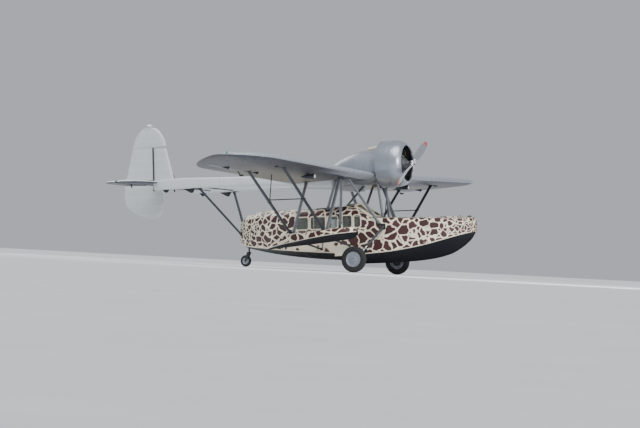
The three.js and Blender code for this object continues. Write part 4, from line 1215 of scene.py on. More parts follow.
def hatches():
    """The bow hatch and the two dark roof hatches, with hinges and handles on them."""
    bow, aft = Skin(FOREBODY), Skin(AFTERBODY)
    over = BOW_HATCH["overlap"]
    lid = deck_lid(BOW_HATCH["rear"] - over, BOW_HATCH["front"] + over, BOW_HATCH["half"] + over, 13, 0.0155)
    piece("bow_hatch_lid", lid, ["hull coat"], "bow_hatch", "hull_paint", ("bow_hatch",), bevel=0.004)
    fitting = Form()
    x, z = 2.09, bow.deck(2.08, 0).z + 0.02
    bow_loop = [(x, -0.05, z - 0.004), (x, -0.05, z + 0.02), (x, 0.05, z + 0.02), (x, 0.05, z - 0.004)]
    fitting.tube(bow_loop, 0.006, 8)
    x = 1.66
    for y in (-0.13, 0.13):
        z = bow.deck(x, y).z + 0.02
        fitting.tube([(x, y - 0.035, z), (x, y + 0.035, z)], 0.008, 8)
    piece("bow_hatch_fittings", fitting, ["dark steel"], "bow_hatch", "hull_paint")
    middle = HATCH["middle"]
    for name, x0, x1, x in (
        ("roof_hatch_front", middle + 0.004, HATCH["front"] + 0.002, middle + 0.054),
        ("roof_hatch_rear", HATCH["rear"] - 0.02, middle - 0.004, middle - 0.054),
    ):
        lid = deck_lid(x0, x1, HATCH["half"] + 0.02, 15, 0.017)
        piece(name + "_lid", lid, ["hatch enamel"], name, "hatch_paint", (name,), bevel=0.004)
        grip = Form()
        z = aft.deck(x, 0).z + 0.019
        bail = [(x, -0.06, z - 0.004), (x, -0.055, z + 0.022), (x, 0.055, z + 0.022), (x, 0.06, z - 0.004)]
        grip.tube(bail, 0.006, 8)
        piece(name + "_grip", grip, ["bright metal"], name, "hatch_paint")


# Floats


def floats():
    """The two wing floats with their rails, strut shoes and cleats."""
    skin = Skin(FLOAT_ROWS, middle_y=FLOAT_Y)
    places = filled([0.33, 0.322, 0.31, 0.295, 0.275, 0.25, 0.225, 0.2, -1.5, -1.8, -2.05], 0.06)
    form = skin_form(skin, places, round_nose=0.03)
    both_sides("float_skin", form, ["hull coat", "bottom paint"], "hull_paint", "float")
    trim = Form()
    section = [(-0.008, 0.0), (-0.008, 0.006), (0.0, 0.014), (0.008, 0.006), (0.008, 0.0)]
    for side in (1, -1):
        wide, high = skin.lines["chine_y"], skin.lines["chine_z"]
        stations = filled([0.328, 0.32, 0.31, 0.295, 0.275, 0.25, 0.22, -2.03], 0.08)
        path = [(x, FLOAT_Y + side * (wide(x) + 0.001), high(x) + 0.008) for x in stations]
        trim.swept(path, section, (0, side, 0.25), 0)
    for x, _ in FLOAT_FEET:
        for side in (1, -1):
            shoe = skin.deck(x, side * FLOAT_FOOT_SPREAD)
            y, z = FLOAT_Y + side * FLOAT_FOOT_SPREAD, shoe.z
            trim.block((x - 0.09, y - 0.04, z - 0.02), (x + 0.09, y + 0.04, z + 0.008), 1)
            for dx in (-0.07, 0.07):
                trim.domed((x + dx, y, z + 0.008), (0, 0, 1), 0.01, 0.008, 6, 1)
    z = skin.deck(0.08, 0).z
    cleat = ((0.03, -0.005), (0.04, 0.025), (0.13, 0.025), (0.14, -0.005))
    trim.tube([(x, FLOAT_Y, z + lift) for x, lift in cleat], 0.007, 8, 1)
    both_sides("float_fittings", trim, ["cream paint", "dark steel"], "hull_paint")


# Wing


def wing_section(fraction):
    """Height of the section's middle line and half its thickness, both as a share of the chord."""
    peak = 0.4
    side = peak if fraction < peak else 1 - peak
    start = 0 if fraction < peak else 1 - 2 * peak
    middle = WING_CAMBER / side**2 * (start + 2 * peak * fraction - fraction**2)
    half = 0.2969 * math.sqrt(fraction) - 0.126 * fraction
    half += -0.3516 * fraction**2 + 0.2843 * fraction**3 - 0.1036 * fraction**4
    return middle, 5 * WING_THICK * half


def chord_at(y):
    """The leading edge's x and the chord at a span place, with the rounded tip."""
    out = min(max((abs(y) - TIP_START) / (HALF_SPAN - TIP_START), 0), 0.999)
    size = math.sqrt(1 - out**2)
    return TIP_AXIS_X * (1 - size), CHORD * size


def wing_point(y, x, side, puff=0.0):
    """The skin's point at a span place and x, above for side 1 and below for side -1."""
    lead, chord = chord_at(y)
    fraction = min(max((lead - x) / chord, 0.0), 1.0)
    middle, half = wing_section(fraction)
    z = -chord * fraction * math.sin(INCIDENCE) + abs(y) * DIHEDRAL + middle * chord
    return Vector((x, y, z + side * (half * chord * (1 - puff) + 0.0015)))


def rib_places(y0, y1):
    """Span places from y0 to y1 with one on each rib and two in each bay, and how slack each is."""
    pitch = sizes().rib_spacing
    places = [(y0, 0.0)]
    y = math.ceil(y0 / pitch) * pitch
    while y < y1:
        for shift, slack in ((0.0, 0.0), (0.1, 0.02), (0.2, 0.02)):
            if y0 + 0.02 < y + shift < y1 - 0.02:
                places.append((y + shift, slack))
        y += pitch
    return places + [(y1, 0.0)]


WING_STEPS = 22


def wing_ring(y, slack, rear=None):
    """One section of the wing; it ends square at rear, or at the trailing edge if that is None."""
    lead, chord = chord_at(y)
    if rear is None:
        reach, turn = chord / 2, math.pi
    else:
        reach, turn = min(chord, lead - rear), math.pi / 2
    xs = [lead - reach * (1 - math.cos(a)) for a in spread(0, turn, WING_STEPS + 1)]
    puff = [0 if i < 3 else slack for i in range(WING_STEPS + 1)]
    top, low = ([wing_point(y, x, side, p) for x, p in zip(xs, puff)] for side in (1, -1))
    return top + low[:0:-1]


def wings():
    """Centre panel and outer panels, with tip lamps, tie-down pads and landing lamps."""
    centre = Form()
    right = [(-y, s) for y, s in reversed(rib_places(0.0, CENTRE_PANEL_Y)[1:])]

    def under(_, i, band=(5, 1)):
        rear, front = (2 * WING_STEPS - steps for steps in band)
        if i < WING_STEPS or i >= front:
            return 0
        return 1 if i < rear else 3

    def before_aileron(_, i):
        return 2 if i == WING_STEPS else under(_, i, (8, 2))

    centre.rings([wing_ring(y, s) for y, s in right + rib_places(0.0, CENTRE_PANEL_Y)], finish_of=under)
    # The lower fabric and the lower band of the leading edge carry painted shade; the lower fabric also has
    # real stains.
    coats = ["doped wing fabric", "stained wing fabric", "dark steel", "leading edge fabric"]
    piece("wing_centre_skin", centre, coats, nodes=("wing_centre",), sharp=40)
    inner, outer = AILERON["inner"], AILERON["outer"]
    cove = AILERON["hinge"] + AILERON["cove"]
    panel = Form()
    panel.rings([wing_ring(y, s) for y, s in rib_places(CENTRE_PANEL_Y + 0.001, inner)], finish_of=under)
    panel.rings([wing_ring(y, s, cove) for y, s in rib_places(inner, outer)], finish_of=before_aileron)
    tip = rib_places(outer, 7.6) + [(y, 0) for y in (7.7, 7.78, 7.84, 7.88, 7.905, 7.918, 7.922)]
    panel.rings([wing_ring(y, s) for y, s in tip], finish_of=under)
    both_sides("wing_skin", panel, coats, node="wing", sharp=40)
    lamp = Form()
    x, y = -0.65, 3.2
    z = wing_point(y, x, -1).z - 0.075
    shell = [(0.004, -0.2), (0.02, -0.17), (0.045, -0.08), (0.058, 0.02), (0.062, 0.13), (0.06, 0.15)]
    rim = [(0.06, 0.145), (0.064, 0.15), (0.064, 0.162), (0.058, 0.166)]
    lens = [(0.058, 0.15), (0.045, 0.172), (0.02, 0.18), (0.001, 0.182)]
    for profile, number in ((shell, 3), (rim, 2), (lens, 1)):
        lamp.turned(profile, (x, y, z), (1, 0, 0), 28, number)
    lamp.strut((x - 0.02, y, z + 0.13), (x - 0.02, y, z + 0.03), 0.09, 0.03, 3)
    both_sides("landing_lamp", lamp, ["silver sheet metal", "lamp lens", "dark steel", "slate strut enamel"])
    pads = Form()
    x, y, half = FRONT_SPAR_X, 5.4, 0.035
    pads.block((x - half, y - half, -0.01), (x + half, y + half, wing_point(y, x, -1).z + 0.01))
    both_sides("tie_down_pad", pads, ["dark steel"], bevel=0.003)
    light = Form()
    dome = [(0.03, -0.01), (0.028, 0.012), (0.018, 0.03), (0.002, 0.036)]
    light.turned(dome, wing_point(7.86, -0.72, 1), (0.2, 0, 1), 16)
    piece("tip_lamp_left", light, ["red enamel"])
    piece("tip_lamp_right", light.flipped(), ["green lens"])


def aileron_axis(y):
    """The aileron's hinge point at a span place."""
    x = AILERON["hinge"]
    middle, _ = wing_section(-x / CHORD)
    return Vector((x, y, x * math.sin(INCIDENCE) + abs(y) * DIHEDRAL + middle * CHORD))


def aileron_ring(y, slack):
    """One section of the aileron: a round nose about the hinge and the wing's own tail."""
    lead, chord = chord_at(y)
    hub = aileron_axis(y)
    xs = spread(AILERON["hinge"], lead - chord + 0.001, 10)
    puff = [slack if 0 < i < 9 else 0 for i in range(10)]
    top, low = ([wing_point(y, x, side, p) for x, p in zip(xs, puff)] for side in (1, -1))
    start = math.atan2(top[0].z - hub.z, 0.0001)
    radius, middle = (top[0].z - low[0].z) / 2, (top[0].z + low[0].z) / 2
    turns = [start - math.pi * i / 8 for i in range(1, 8)]
    nose = [Vector((hub.x + AILERON["nose"] * math.cos(a), y, middle + radius * math.sin(a))) for a in turns]
    return nose + low + top[::-1]


def ailerons():
    """The two ailerons with their balance weights, and the hinge brackets under the wing."""
    form = Form()
    y0, y1 = AILERON["inner"] + AILERON["gap"], AILERON["outer"] - AILERON["gap"]
    rings = [aileron_ring(y, s) for y, s in rib_places(y0, y1)]

    def under(_, i):
        return 1 if 7 <= i < 16 else 0

    form.rings(rings, finish_of=under)
    coats = ["doped wing fabric", "stained wing fabric"]
    both_sides("aileron_skin", form, coats, node="aileron", body="aileron", sharp=40)
    brackets = Form()
    for y in (4.7, 6.4):
        hub = aileron_axis(y)
        low = wing_point(y, -1.3, -1)
        brackets.strut((-1.36, y, low.z + 0.02), (-1.39, y, low.z - 0.045), 0.09, 0.012)
        brackets.strut((-1.38, y, low.z - 0.035), (hub.x + 0.035, y, hub.z - 0.03), 0.024, 0.01)
    both_sides("aileron_brackets", brackets, ["dark steel"])
    weights = Form()
    y = 5.33
    top = wing_point(y, -1.62, -1)
    weights.strut((-1.6, y, top.z + 0.02), (-1.53, y, top.z - 0.1), 0.022, 0.012)
    bulb = [(0.003, -0.07), (0.018, -0.03), (0.024, 0.015), (0.016, 0.05), (0.003, 0.065)]
    weights.turned(bulb, (-1.5, y, top.z - 0.11), (1, 0, 0), 16)
    both_sides("aileron_balance", weights, ["dark steel"], body="aileron")


# Tail


# Columns: x, y
TAILPLANE_EDGE = [
    (-5.66, 0.0), (-5.675, 0.9), (-5.74, 1.6), (-5.92, 2.08), (-6.21, 2.29), (-6.48, 2.28), (-6.74, 2.08),
    (-6.89, 1.7), (-6.95, 1.0), (-6.96, 0.0),
]
# Columns: x, z
FIN_EDGE = [(-5.76, 0.06), (-5.805, 0.3), (-5.91, 0.72), (-5.985, 1.03)]
RUDDER_EDGE = [
    (-5.995, 1.062), (-6.02, 1.24), (-6.14, 1.45), (-6.275, 1.562), (-6.445, 1.592), (-6.63, 1.555),
    (-6.78, 1.435), (-6.9, 1.24), (-7.02, 0.8), (-7.12, 0.4), (-7.19, 0.1), (-7.225, -0.17), (-7.17, -0.42),
    (-6.98, -0.6), (-6.74, -0.71), (-6.48, -0.79), (-6.3, -0.79), (-6.18, -0.7), (-6.105, -0.53),
    (-6.085, -0.28), (-6.1, -0.06),
]
# Half the thickness of the tail's surfaces along the flight line. Columns: x, half
TAIL_SECTION = [(-7.24, 0.005), (-6.76, 0.017), (-6.38, 0.03), (-6.01, 0.038), (-5.74, 0.028), (-5.62, 0.012)]
tail_half = through(TAIL_SECTION)


def reach_at(outline, place):
    """The front and rear x of an outline of (x, place) points where it crosses a place."""
    hits = []
    for a, b in zip(outline, outline[1:]):
        if (a[1] - place) * (b[1] - place) <= 0 and a[1] != b[1]:
            t = (place - a[1]) / (b[1] - a[1])
            hits.append(a[0] + (b[0] - a[0]) * t)
    return max(hits), min(hits)


TAIL_STEPS = 14


def slab_ring(place, front, rear, position, blunt_front=False, size=1.0):
    """One section of a tail surface from front to rear, round at its outer edges."""
    chord = max(front - rear, 0.002)
    xs = [front - chord * (1 - math.cos(a)) / 2 for a in spread(0, math.pi, TAIL_STEPS + 1)]
    ring_top, ring_low = [], []
    for x in xs:
        half = tail_half(x) * size
        if not blunt_front:
            half *= math.sqrt(max(0.0, min(1.0, (front - x) / 0.07)))
        half = min(half, 0.6 * chord)
        half *= math.sqrt(max(0.0, min(1.0, (x - rear) / 0.05 + 0.03)))
        half = max(half, 0.0012)
        ring_top.append(position(x, place, half))
        ring_low.append(position(x, place, -half))
    if blunt_front:
        deep, half = 0.028 * size, tail_half(front) * size
        turns = spread(0, math.pi, 7)[1:-1]
        nose = [position(front + deep * math.sin(a), place, -half * math.cos(a)) for a in turns]
        return ring_top + ring_low[::-1] + nose
    return ring_top + ring_low[:0:-1]


def rear_face(_, i):
    """The dark finish for the closed rear end of a fixed tail surface, painted shade in the hinge gap, and
    another for its lower side.
    """
    if i in (TAIL_STEPS - 1, TAIL_STEPS):
        return 1
    return 2 if i > TAIL_STEPS else 0


def front_face(_, i):
    """The dark finish for the round nose of a moving tail surface, painted shade in the hinge gap, and
    another for its lower side.
    """
    if i > 2 * TAIL_STEPS:
        return 1
    return 2 if i > TAIL_STEPS else 0


def level(x, y, half):
    """A point of the tailplane's skin, half above its middle."""
    return Vector((x, y, TAILPLANE_Z + half))


def upright(x, z, half):
    """A point of the fin's skin, half to port of its middle."""
    return Vector((x, half, z))


def slab_rings(outline, places, front=None):
    """Sections of the rudder at the places given; with a front they have its blunt nose there."""
    rings = []
    for z in places:
        ahead, behind = reach_at(outline, z)
        rings.append(slab_ring(z, ahead if front is None else front, behind, upright, front is not None))
    return rings


def tail():
    """Tailplane, elevators, fin and rudder with their horns and top beacon."""
    outline = smooth_path(TAILPLANE_EDGE, 8)
    ends = [2.2, 2.24, 2.265, 2.28, 2.288]
    # Dark steel in the hinge gap and dark fabric on the lower side are painted shade.
    coats = ["pale tail fabric", "dark steel", "slate tail fabric"]

    def thinned(y):
        return math.sqrt(1 - (max(0.0, abs(y) - 2.15) / 0.14) ** 2)

    stabiliser = Form()
    rings = []
    places = [y for y, _ in rib_places(0.0, 2.15)] + ends
    for y in [-p for p in reversed(places[1:])] + places:
        front, _ = reach_at(outline, min(abs(y), 2.29))
        back = TAIL_HINGE_X + (0.045 if abs(y) > 0.05 else 0.06)
        rings.append(slab_ring(y, max(front, back + 0.01), back, level, size=thinned(y)))
    stabiliser.rings(rings, finish_of=rear_face)
    piece("tailplane_skin", stabiliser, coats, nodes=("tailplane",), sharp=40)
    moving = Form()
    rings = []
    for y in [y for y, _ in rib_places(RUDDER_WELL, 2.15)] + ends[:4]:
        _, behind = reach_at(outline, y)
        rings.append(slab_ring(y, TAIL_HINGE_X, min(behind, TAIL_HINGE_X - 0.02), level, True, thinned(y)))
    moving.rings(rings, finish_of=front_face)
    both_sides("elevator_skin", moving, coats, node="elevator", body="elevator", sharp=40)
    horn = Form()
    root, tip = (TAIL_HINGE_X - 0.02, 1.29, TAILPLANE_Z), (TAIL_HINGE_X, 1.29, TAILPLANE_Z - 0.12)
    horn.strut(root, tip, 0.035, 0.012)
    horn.domed((TAIL_HINGE_X, 1.29, TAILPLANE_Z - 0.11), (0, 1, 0), 0.012, 0.012, 10)
    both_sides("elevator_horn", horn, ["dark steel"], body="elevator")
    # Dark steel on the fin's rear face and on the rudder's nose is painted shade in the hinge gap.
    coats = ["pale fin fabric", "dark steel", "pale fin fabric"]
    fixed = Form()
    lead = through([(z, x) for x, z in FIN_EDGE])
    rings = [slab_ring(z, lead(z), TAIL_HINGE_X + 0.037, upright) for z in spread(0.11, 1.03, 16)]
    fixed.rings(rings, finish_of=rear_face)
    x = lead(0.34)
    cable = [(x - 0.01, 0, 0.34), (x + 0.06, 0, 0.22), (lead(0.11) + 0.1, 0, TAILPLANE_Z + 0.02)]
    fixed.tube(smooth_path(cable, 5), 0.009, 8, 1)
    piece("fin_skin", fixed, coats, nodes=("fin",), sharp=40)
    outline = smooth_path(RUDDER_EDGE, 6)
    swing = Form()
    low = [-0.793, -0.788, -0.78, -0.765, -0.74] + spread(-0.8, -0.08, 22)[3:]
    swing.rings(slab_rings(outline, low))
    swing.rings(slab_rings(outline, spread(-0.08, 1.06, 30), TAIL_HINGE_X), finish_of=front_face)
    swing.rings(slab_rings(outline, spread(1.06, 1.5, 14) + [1.525, 1.55, 1.567, 1.58, 1.587, 1.591]))
    piece("rudder_skin", swing, coats, "rudder", nodes=("rudder",), sharp=40)
    extras = Form()
    beacon = [
        (0.02, -0.03), (0.018, 0.03), (0.05, 0.04), (0.075, 0.05), (0.078, 0.065), (0.05, 0.085),
        (0.01, 0.095),
    ]
    extras.turned(beacon, (-6.445, 0, 1.58), (0, 0, 1), 24, 1)
    x = TAIL_HINGE_X - 0.02
    for side in (1, -1):
        extras.strut((x, side * 0.02, 0.2), (x, side * 0.16, 0.2), 0.04, 0.012)
    piece("rudder_fittings", extras, ["dark steel", "white beacon"], "rudder")


# Columns: x, lower z, upper z, half width
BOOM_ROWS = [
    (-0.88, -0.3, -0.06, 0.04), (-1.25, -0.29, 0.01, 0.08), (-1.9, -0.195, 0.075, 0.095),
    (-3.39, -0.14, 0.105, 0.085), (-5.3, -0.13, 0.15, 0.062), (-5.82, -0.12, 0.12, 0.042),
]


def booms():
    """Two tapering tail booms with inspection plates and gussets, and the tubes and wires between them."""
    low, high, wide = columns(BOOM_ROWS)
    form = Form()
    rings = []
    for x in spread(-0.9, -5.82, 50):
        middle, tall, half = (low(x) + high(x)) / 2, (high(x) - low(x)) / 2, wide(x)
        turns = [(fuller(math.cos(a), 0.62), fuller(math.sin(a), 0.62)) for a in angles(28)]
        rings.append([(x, BOOM_Y + half * across, middle + tall * up) for across, up in turns])
    form.rings(rings)
    both_sides("boom_skin", form, ["pale sheet metal"], node="boom")
    plates = Form()
    for x in (-2.3, -3.4, -4.5):
        y, z = BOOM_Y + wide(x), (low(x) + high(x)) / 2
        frame_path = rounded_frame(x - 0.09, x + 0.09, z - 0.055, z + 0.055, 0.03)
        path = [(px, y + 0.001, pz) for px, pz in frame_path]
        plates.swept(path, strip(0.006, -0.004, 0.003), (0, 1, 0), 0, True)
        for dx in (-0.07, 0.07):
            plates.domed((x + dx, y + 0.002, z), (0, 1, 0), 0.007, 0.004, 10)
    plates.plate((-4.62, BOOM_Y, low(-4.62) + 0.002), (0, 0, -1), (1, 0, 0), 0.34, 0.085, 1)
    for x0, x1, tip, deep in ((-4.66, -5.02, -4.76, 0.11), (-5.38, -5.6, -5.48, 0.075)):
        foot = low(tip) - deep
        outline = [(x0, low(x0) + 0.012), (tip + 0.03, foot), (tip - 0.03, foot), (x1, low(x1) + 0.012)]
        plates.rings([[(x, BOOM_Y + off, z) for x, z in outline] for off in (-0.006, 0.006)], 1)
    both_sides("boom_plates", plates, ["pale sheet metal", "dark steel"])
    brace = Form()
    for x, rise in ((-4.6, -0.09), (-5.25, -0.07)):
        brace.tube([(x, -BOOM_Y, rise), (x, BOOM_Y, rise)], 0.016, 14)
    for side in (1, -1):
        brace.tube([(-4.6, side * BOOM_Y, -0.09), (-5.25, -side * BOOM_Y, -0.07)], 0.004, 8, 1)
    piece("boom_crossbars", brace, ["slate strut enamel", "bright metal"], slot="strut_paint")


# Engine group


# Columns: x, half width, z of the middle, half height
NACELLE_ROWS = [
    (0.04, 0.43, 0.27, 0.425), (-0.15, 0.44, 0.24, 0.45), (-0.45, 0.43, 0.22, 0.445),
    (-0.72, 0.38, 0.21, 0.405), (-1.0, 0.3, 0.2, 0.3), (-1.25, 0.21, 0.13, 0.23), (-1.55, 0.11, 0.02, 0.13),
    (-1.86, 0.03, -0.11, 0.04),
]


def vent_ring(x, half, top):
    """One section of the top vent, flatter below its middle."""
    middle = 0.7
    return [
        (x, half * math.sin(a), middle + (top - middle) * math.cos(a) * (1 if math.cos(a) > 0 else 0.6))
        for a in angles(24)
    ]


def nacelle():
    """The nacelle behind the cowl with its top vent, access panels and exhaust stubs."""
    wide, middle, high = columns(NACELLE_ROWS)

    def on_skin(x, a):
        return Vector((x, wide(x) * math.sin(a), middle(x) + high(x) * math.cos(a)))

    form = Form()
    form.rings([hoop(x, wide(x), 56, middle(x), high(x)) for x in filled([0.04, -0.15, -1.86], 0.05)])
    form.turned([(0.18, 0.02), (0.18, 0.19)], (0, 0, THRUST_Z), (1, 0, 0), 40)
    piece("nacelle_skin", form, ["silver sheet metal"], nodes=("nacelle",), sharp=45)
    vent = Form()
    # Columns: x, half width, z of the top
    sections = [
        (-0.36, 0.02, 0.69), (-0.33, 0.035, 0.72), (-0.28, 0.05, 0.752), (-0.15, 0.06, 0.775),
        (-0.06, 0.062, 0.785),
    ]
    vent.rings([vent_ring(*section) for section in sections])
    vent.tube(vent_ring(*sections[-1]), 0.007, 8, 1, closed=True)
    piece("top_vent", vent, ["vent paint", "dark steel"])
    slots = Form()
    flat = strip(0.005, -0.003, 0.0025)
    for side in (1, -1):
        upper, lower = (side * math.radians(d) for d in (38, 92))
        corners = [(-0.1, upper), (-0.62, upper), (-0.62, lower), (-0.1, lower)]
        for (x0, a0), (x1, a1) in zip(corners, corners[1:] + corners[:1]):
            path = [on_skin(x0 + (x1 - x0) * t, a0 + (a1 - a0) * t) for t in spread(0, 1, 12)]
            slots.swept(path, flat, outward((a0 + a1) / 2), 0)
            for t in (0.1, 0.37, 0.63, 0.9):
                x, a = x0 + (x1 - x0) * t, a0 + (a1 - a0) * t
                slots.domed(on_skin(x, a), outward(a), 0.008, 0.004, 8, 2)
    for side in (1, -1):
        pipe = ((0.16, 0.2, -0.12), (0.08, 0.22, -0.2), (-0.02, 0.23, -0.24), (-0.14, 0.235, -0.26))
        slots.tube(smooth_path([(x, side * y, z) for x, y, z in pipe], 4), 0.036, 16, 1)
    slots.tube(hoop(0.035, 0.434, 64, 0.27, 0.429), 0.009, 8, 2, closed=True)
    piece("nacelle_fittings", slots, ["silver sheet metal", "burnt exhaust steel", "dark steel"])


def cowl():
    """The spun cowl ring with its seams and fasteners."""
    form = Form()
    # Columns: radius, x
    outside = [
        (0.585, 0.06), (0.59, 0.2), (0.59, 0.42), (0.583, 0.53), (0.562, 0.61), (0.535, 0.665), (0.5, 0.705),
        (0.48, 0.722),
    ]
    lip = [(0.463, 0.735), (0.45, 0.722), (0.447, 0.705)]
    inside = [(0.455, 0.68), (0.475, 0.655), (0.521, 0.62), (0.566, 0.43), (0.566, 0.06)]

    def black_inside(r, _):
        return 1 if r >= len(outside + lip) else 0

    profile = outside + lip + inside + outside[:1]
    form.rings([hoop(x, radius, 96) for radius, x in profile], caps=False, finish_of=black_inside)
    piece("cowl_skin", form, ["spun cowl metal", "cylinder enamel"], nodes=("cowl",), sharp=40)
    joints = Form()
    for x, radius in ((0.1, 0.5885), (0.44, 0.5895)):
        joints.tube(hoop(x, radius, 96), 0.0035, 6, 0, closed=True)
    for i in range(CYLINDERS):
        out = outward(2 * math.pi * (i + 0.5) / CYLINDERS)
        for x in (0.12, 0.27, 0.42):
            joints.domed(Vector((x, 0, THRUST_Z)) + out * 0.588, out, 0.009, 0.005, 8, 1)
    for turn in (100, -100):
        out = outward(math.radians(turn))
        path = [Vector((x, 0, THRUST_Z)) + out * 0.5895 for x in spread(0.07, 0.52, 12)]
        joints.swept(path, strip(0.012, -0.002, 0.0025), out, 0)
    piece("cowl_seams", joints, ["spun cowl metal", "dark steel"])


def cylinder(form, angle):
    """One finned cylinder with its head, rocker boxes, push rods and plug leads."""
    out = outward(angle)
    run = Vector((0, math.cos(angle), -math.sin(angle)))
    fore = Vector((1, 0, 0))
    hub = Vector((CYLINDER_X, 0, THRUST_Z))

    def spot(distance, x, across=0.0):
        return hub + out * distance + fore * x + run * across

    form.turned([(0.085, 0.18), (0.085, 0.225), (0.06, 0.23), (0.06, 0.44)], hub, out, 20, 1)
    barrel = []
    for d in spread(0.245, 0.4265, sizes().cylinder_fins):
        barrel += [(0.062, d), (0.083, d + 0.001), (0.083, d + 0.005), (0.062, d + 0.006)]
    head = []
    for i in range(5):
        d, size = 0.447 + i * 0.016, 0.09 - 0.007 * i
        head += [(0.06, d), (size, d + 0.001), (size, d + 0.006), (0.06, d + 0.007)]
    for profile in (barrel, head):
        form.turned(profile, hub, out, 24, 1)
    rocker_box = [(0.026, -0.035), (0.03, -0.03), (0.03, 0.03), (0.026, 0.035)]
    for across in (-0.05, 0.05):
        rod_foot = spot(0.2, 0.135, across * 0.6)
        form.turned(rocker_box, spot(0.525, 0.015, across), fore, 14, 0)
        form.tube([rod_foot, spot(0.5, 0.06, across)], 0.009, 10, 2)
        form.domed(rod_foot, out, 0.014, 0.02, 10, 0)
    intake = [spot(0.48, -0.06), spot(0.42, -0.11, 0.01), spot(0.3, -0.12, 0.02), spot(0.2, -0.1, 0.02)]
    form.tube(intake, 0.022, 12, 0)
    form.turned([(0.009, 0.0), (0.012, 0.02), (0.009, 0.045)], spot(0.47, 0.085, 0.015), fore, 8, 2)
    lead = [spot(0.47, 0.13, 0.015), spot(0.42, 0.17, 0.03), spot(0.3, 0.175, 0.045), spot(0.235, 0.15, 0.05)]
    form.tube(lead, 0.005, 8, 3)


def engine():
    """The nine-cylinder radial engine: crankcase, cylinders, harness ring and gear nose."""
    form = Form()
    # Columns: radius, x
    crankcase = [
        (0.12, 0.192), (0.2, 0.2), (0.213, 0.24), (0.213, 0.5), (0.2, 0.54), (0.175, 0.56), (0.165, 0.6),
        (0.15, 0.65), (0.12, 0.69), (0.09, 0.72), (0.06, 0.74), (0.045, 0.79), (0.045, 0.798),
    ]
    form.turned(crankcase, (0, 0, THRUST_Z), (1, 0, 0), 54, 0)
    for i in range(CYLINDERS):
        cylinder(form, 2 * math.pi * i / CYLINDERS)
    form.tube(hoop(0.56, 0.228, 54), 0.012, 10, 2, closed=True)
    for i in range(18):
        out = outward(2 * math.pi * (i + 0.5) / 18)
        form.domed(Vector((0.56, 0, THRUST_Z)) + out * 0.17, (1, 0, 0), 0.008, 0.012, 6, 2)
    for side in (1, -1):
        magneto = [(0.03, 0.0), (0.032, 0.05), (0.02, 0.07)]
        form.turned(magneto, (0.56, side * 0.09, THRUST_Z + 0.11), (1, 0, 0), 16, 3)
    coats = ["crankcase enamel", "cylinder enamel", "bright metal", "ignition lead"]
    piece("engine_detail", form, coats, slot="engine_metal", nodes=("engine",), sharp=40)


# Columns: distance out, chord, thickness, twist in degrees
BLADE_ROWS = [
    (0.04, 0.085, 0.085, 50), (0.12, 0.09, 0.08, 47), (0.2, 0.125, 0.06, 43), (0.38, 0.185, 0.04, 33),
    (0.7, 0.212, 0.026, 23), (1.0, 0.178, 0.016, 17), (1.12, 0.14, 0.011, 15), (1.19, 0.09, 0.008, 14),
    (1.219, 0.03, 0.005, 14),
]


def propeller():
    """The two-blade metal propeller with red tips and its clamped hub."""
    turn = Matrix.Rotation(-BLADE_REST, 4, "X")
    flips = [turn @ Matrix.Rotation(half_turn, 4, "X") for half_turn in (0, math.pi)]
    centre = Vector((PROP_X, 0, THRUST_Z))
    chord, thick, twist = columns(BLADE_ROWS)
    form = Form()
    places = filled([0.04, 0.2, 1.08, 1.19, 1.219], 0.035)[::-1]

    def red_tip(r, _):
        return 1 if places[r] > BLADE_PAINT_FROM else 0

    for flip in flips:
        rings = []
        for out in places:
            a = math.radians(twist(out))
            ring = []
            for t in angles(24):
                u = chord(out) / 2 * math.cos(t)
                v = thick(out) / 2 * math.sin(t) * (1.0 if out < 0.15 else (1.25 if math.sin(t) > 0 else 0.5))
                point = Vector((v * math.cos(a) + u * math.sin(a), u * math.cos(a) - v * math.sin(a), out))
                ring.append(centre + flip @ point)
            rings.append(ring)
        form.rings(rings, finish_of=red_tip)
    # Columns: radius, distance ahead of the blades
    hub = [
        (0.03, -0.058), (0.07, -0.055), (0.074, -0.02), (0.074, 0.03), (0.066, 0.045), (0.05, 0.055),
        (0.048, 0.08), (0.04, 0.115), (0.02, 0.128), (0.004, 0.13),
    ]
    form.turned(hub, centre, (1, 0, 0), 32, 2)
    for flip in flips:
        out = (flip @ Vector((0, 0, 1))).normalized()
        for d in (0.09, 0.135):
            clamp = [(0.05, d - 0.012), (0.054, d - 0.008), (0.054, d + 0.008), (0.05, d + 0.012)]
            form.turned(clamp, centre, out, 24, 2)
    for a in angles(8):
        spot = centre + Vector((0.052, 0.056 * math.cos(a), 0.056 * math.sin(a)))
        form.domed(spot, (1, 0, 0), 0.008, 0.012, 6, 3)
    coats = ["bright metal", "red enamel", "bright metal", "dark steel"]
    piece("propeller_blades", form, coats, "propeller", "propeller_metal", ("propeller",), sharp=40)


# Struts


def under_wing(x, y, sink):
    """A point on the wing's lower skin, sunk into it."""
    middle, half = wing_section(-x / CHORD)
    return Vector((x, y, x * math.sin(INCIDENCE) + abs(y) * DIHEDRAL + (middle - half) * CHORD + sink))


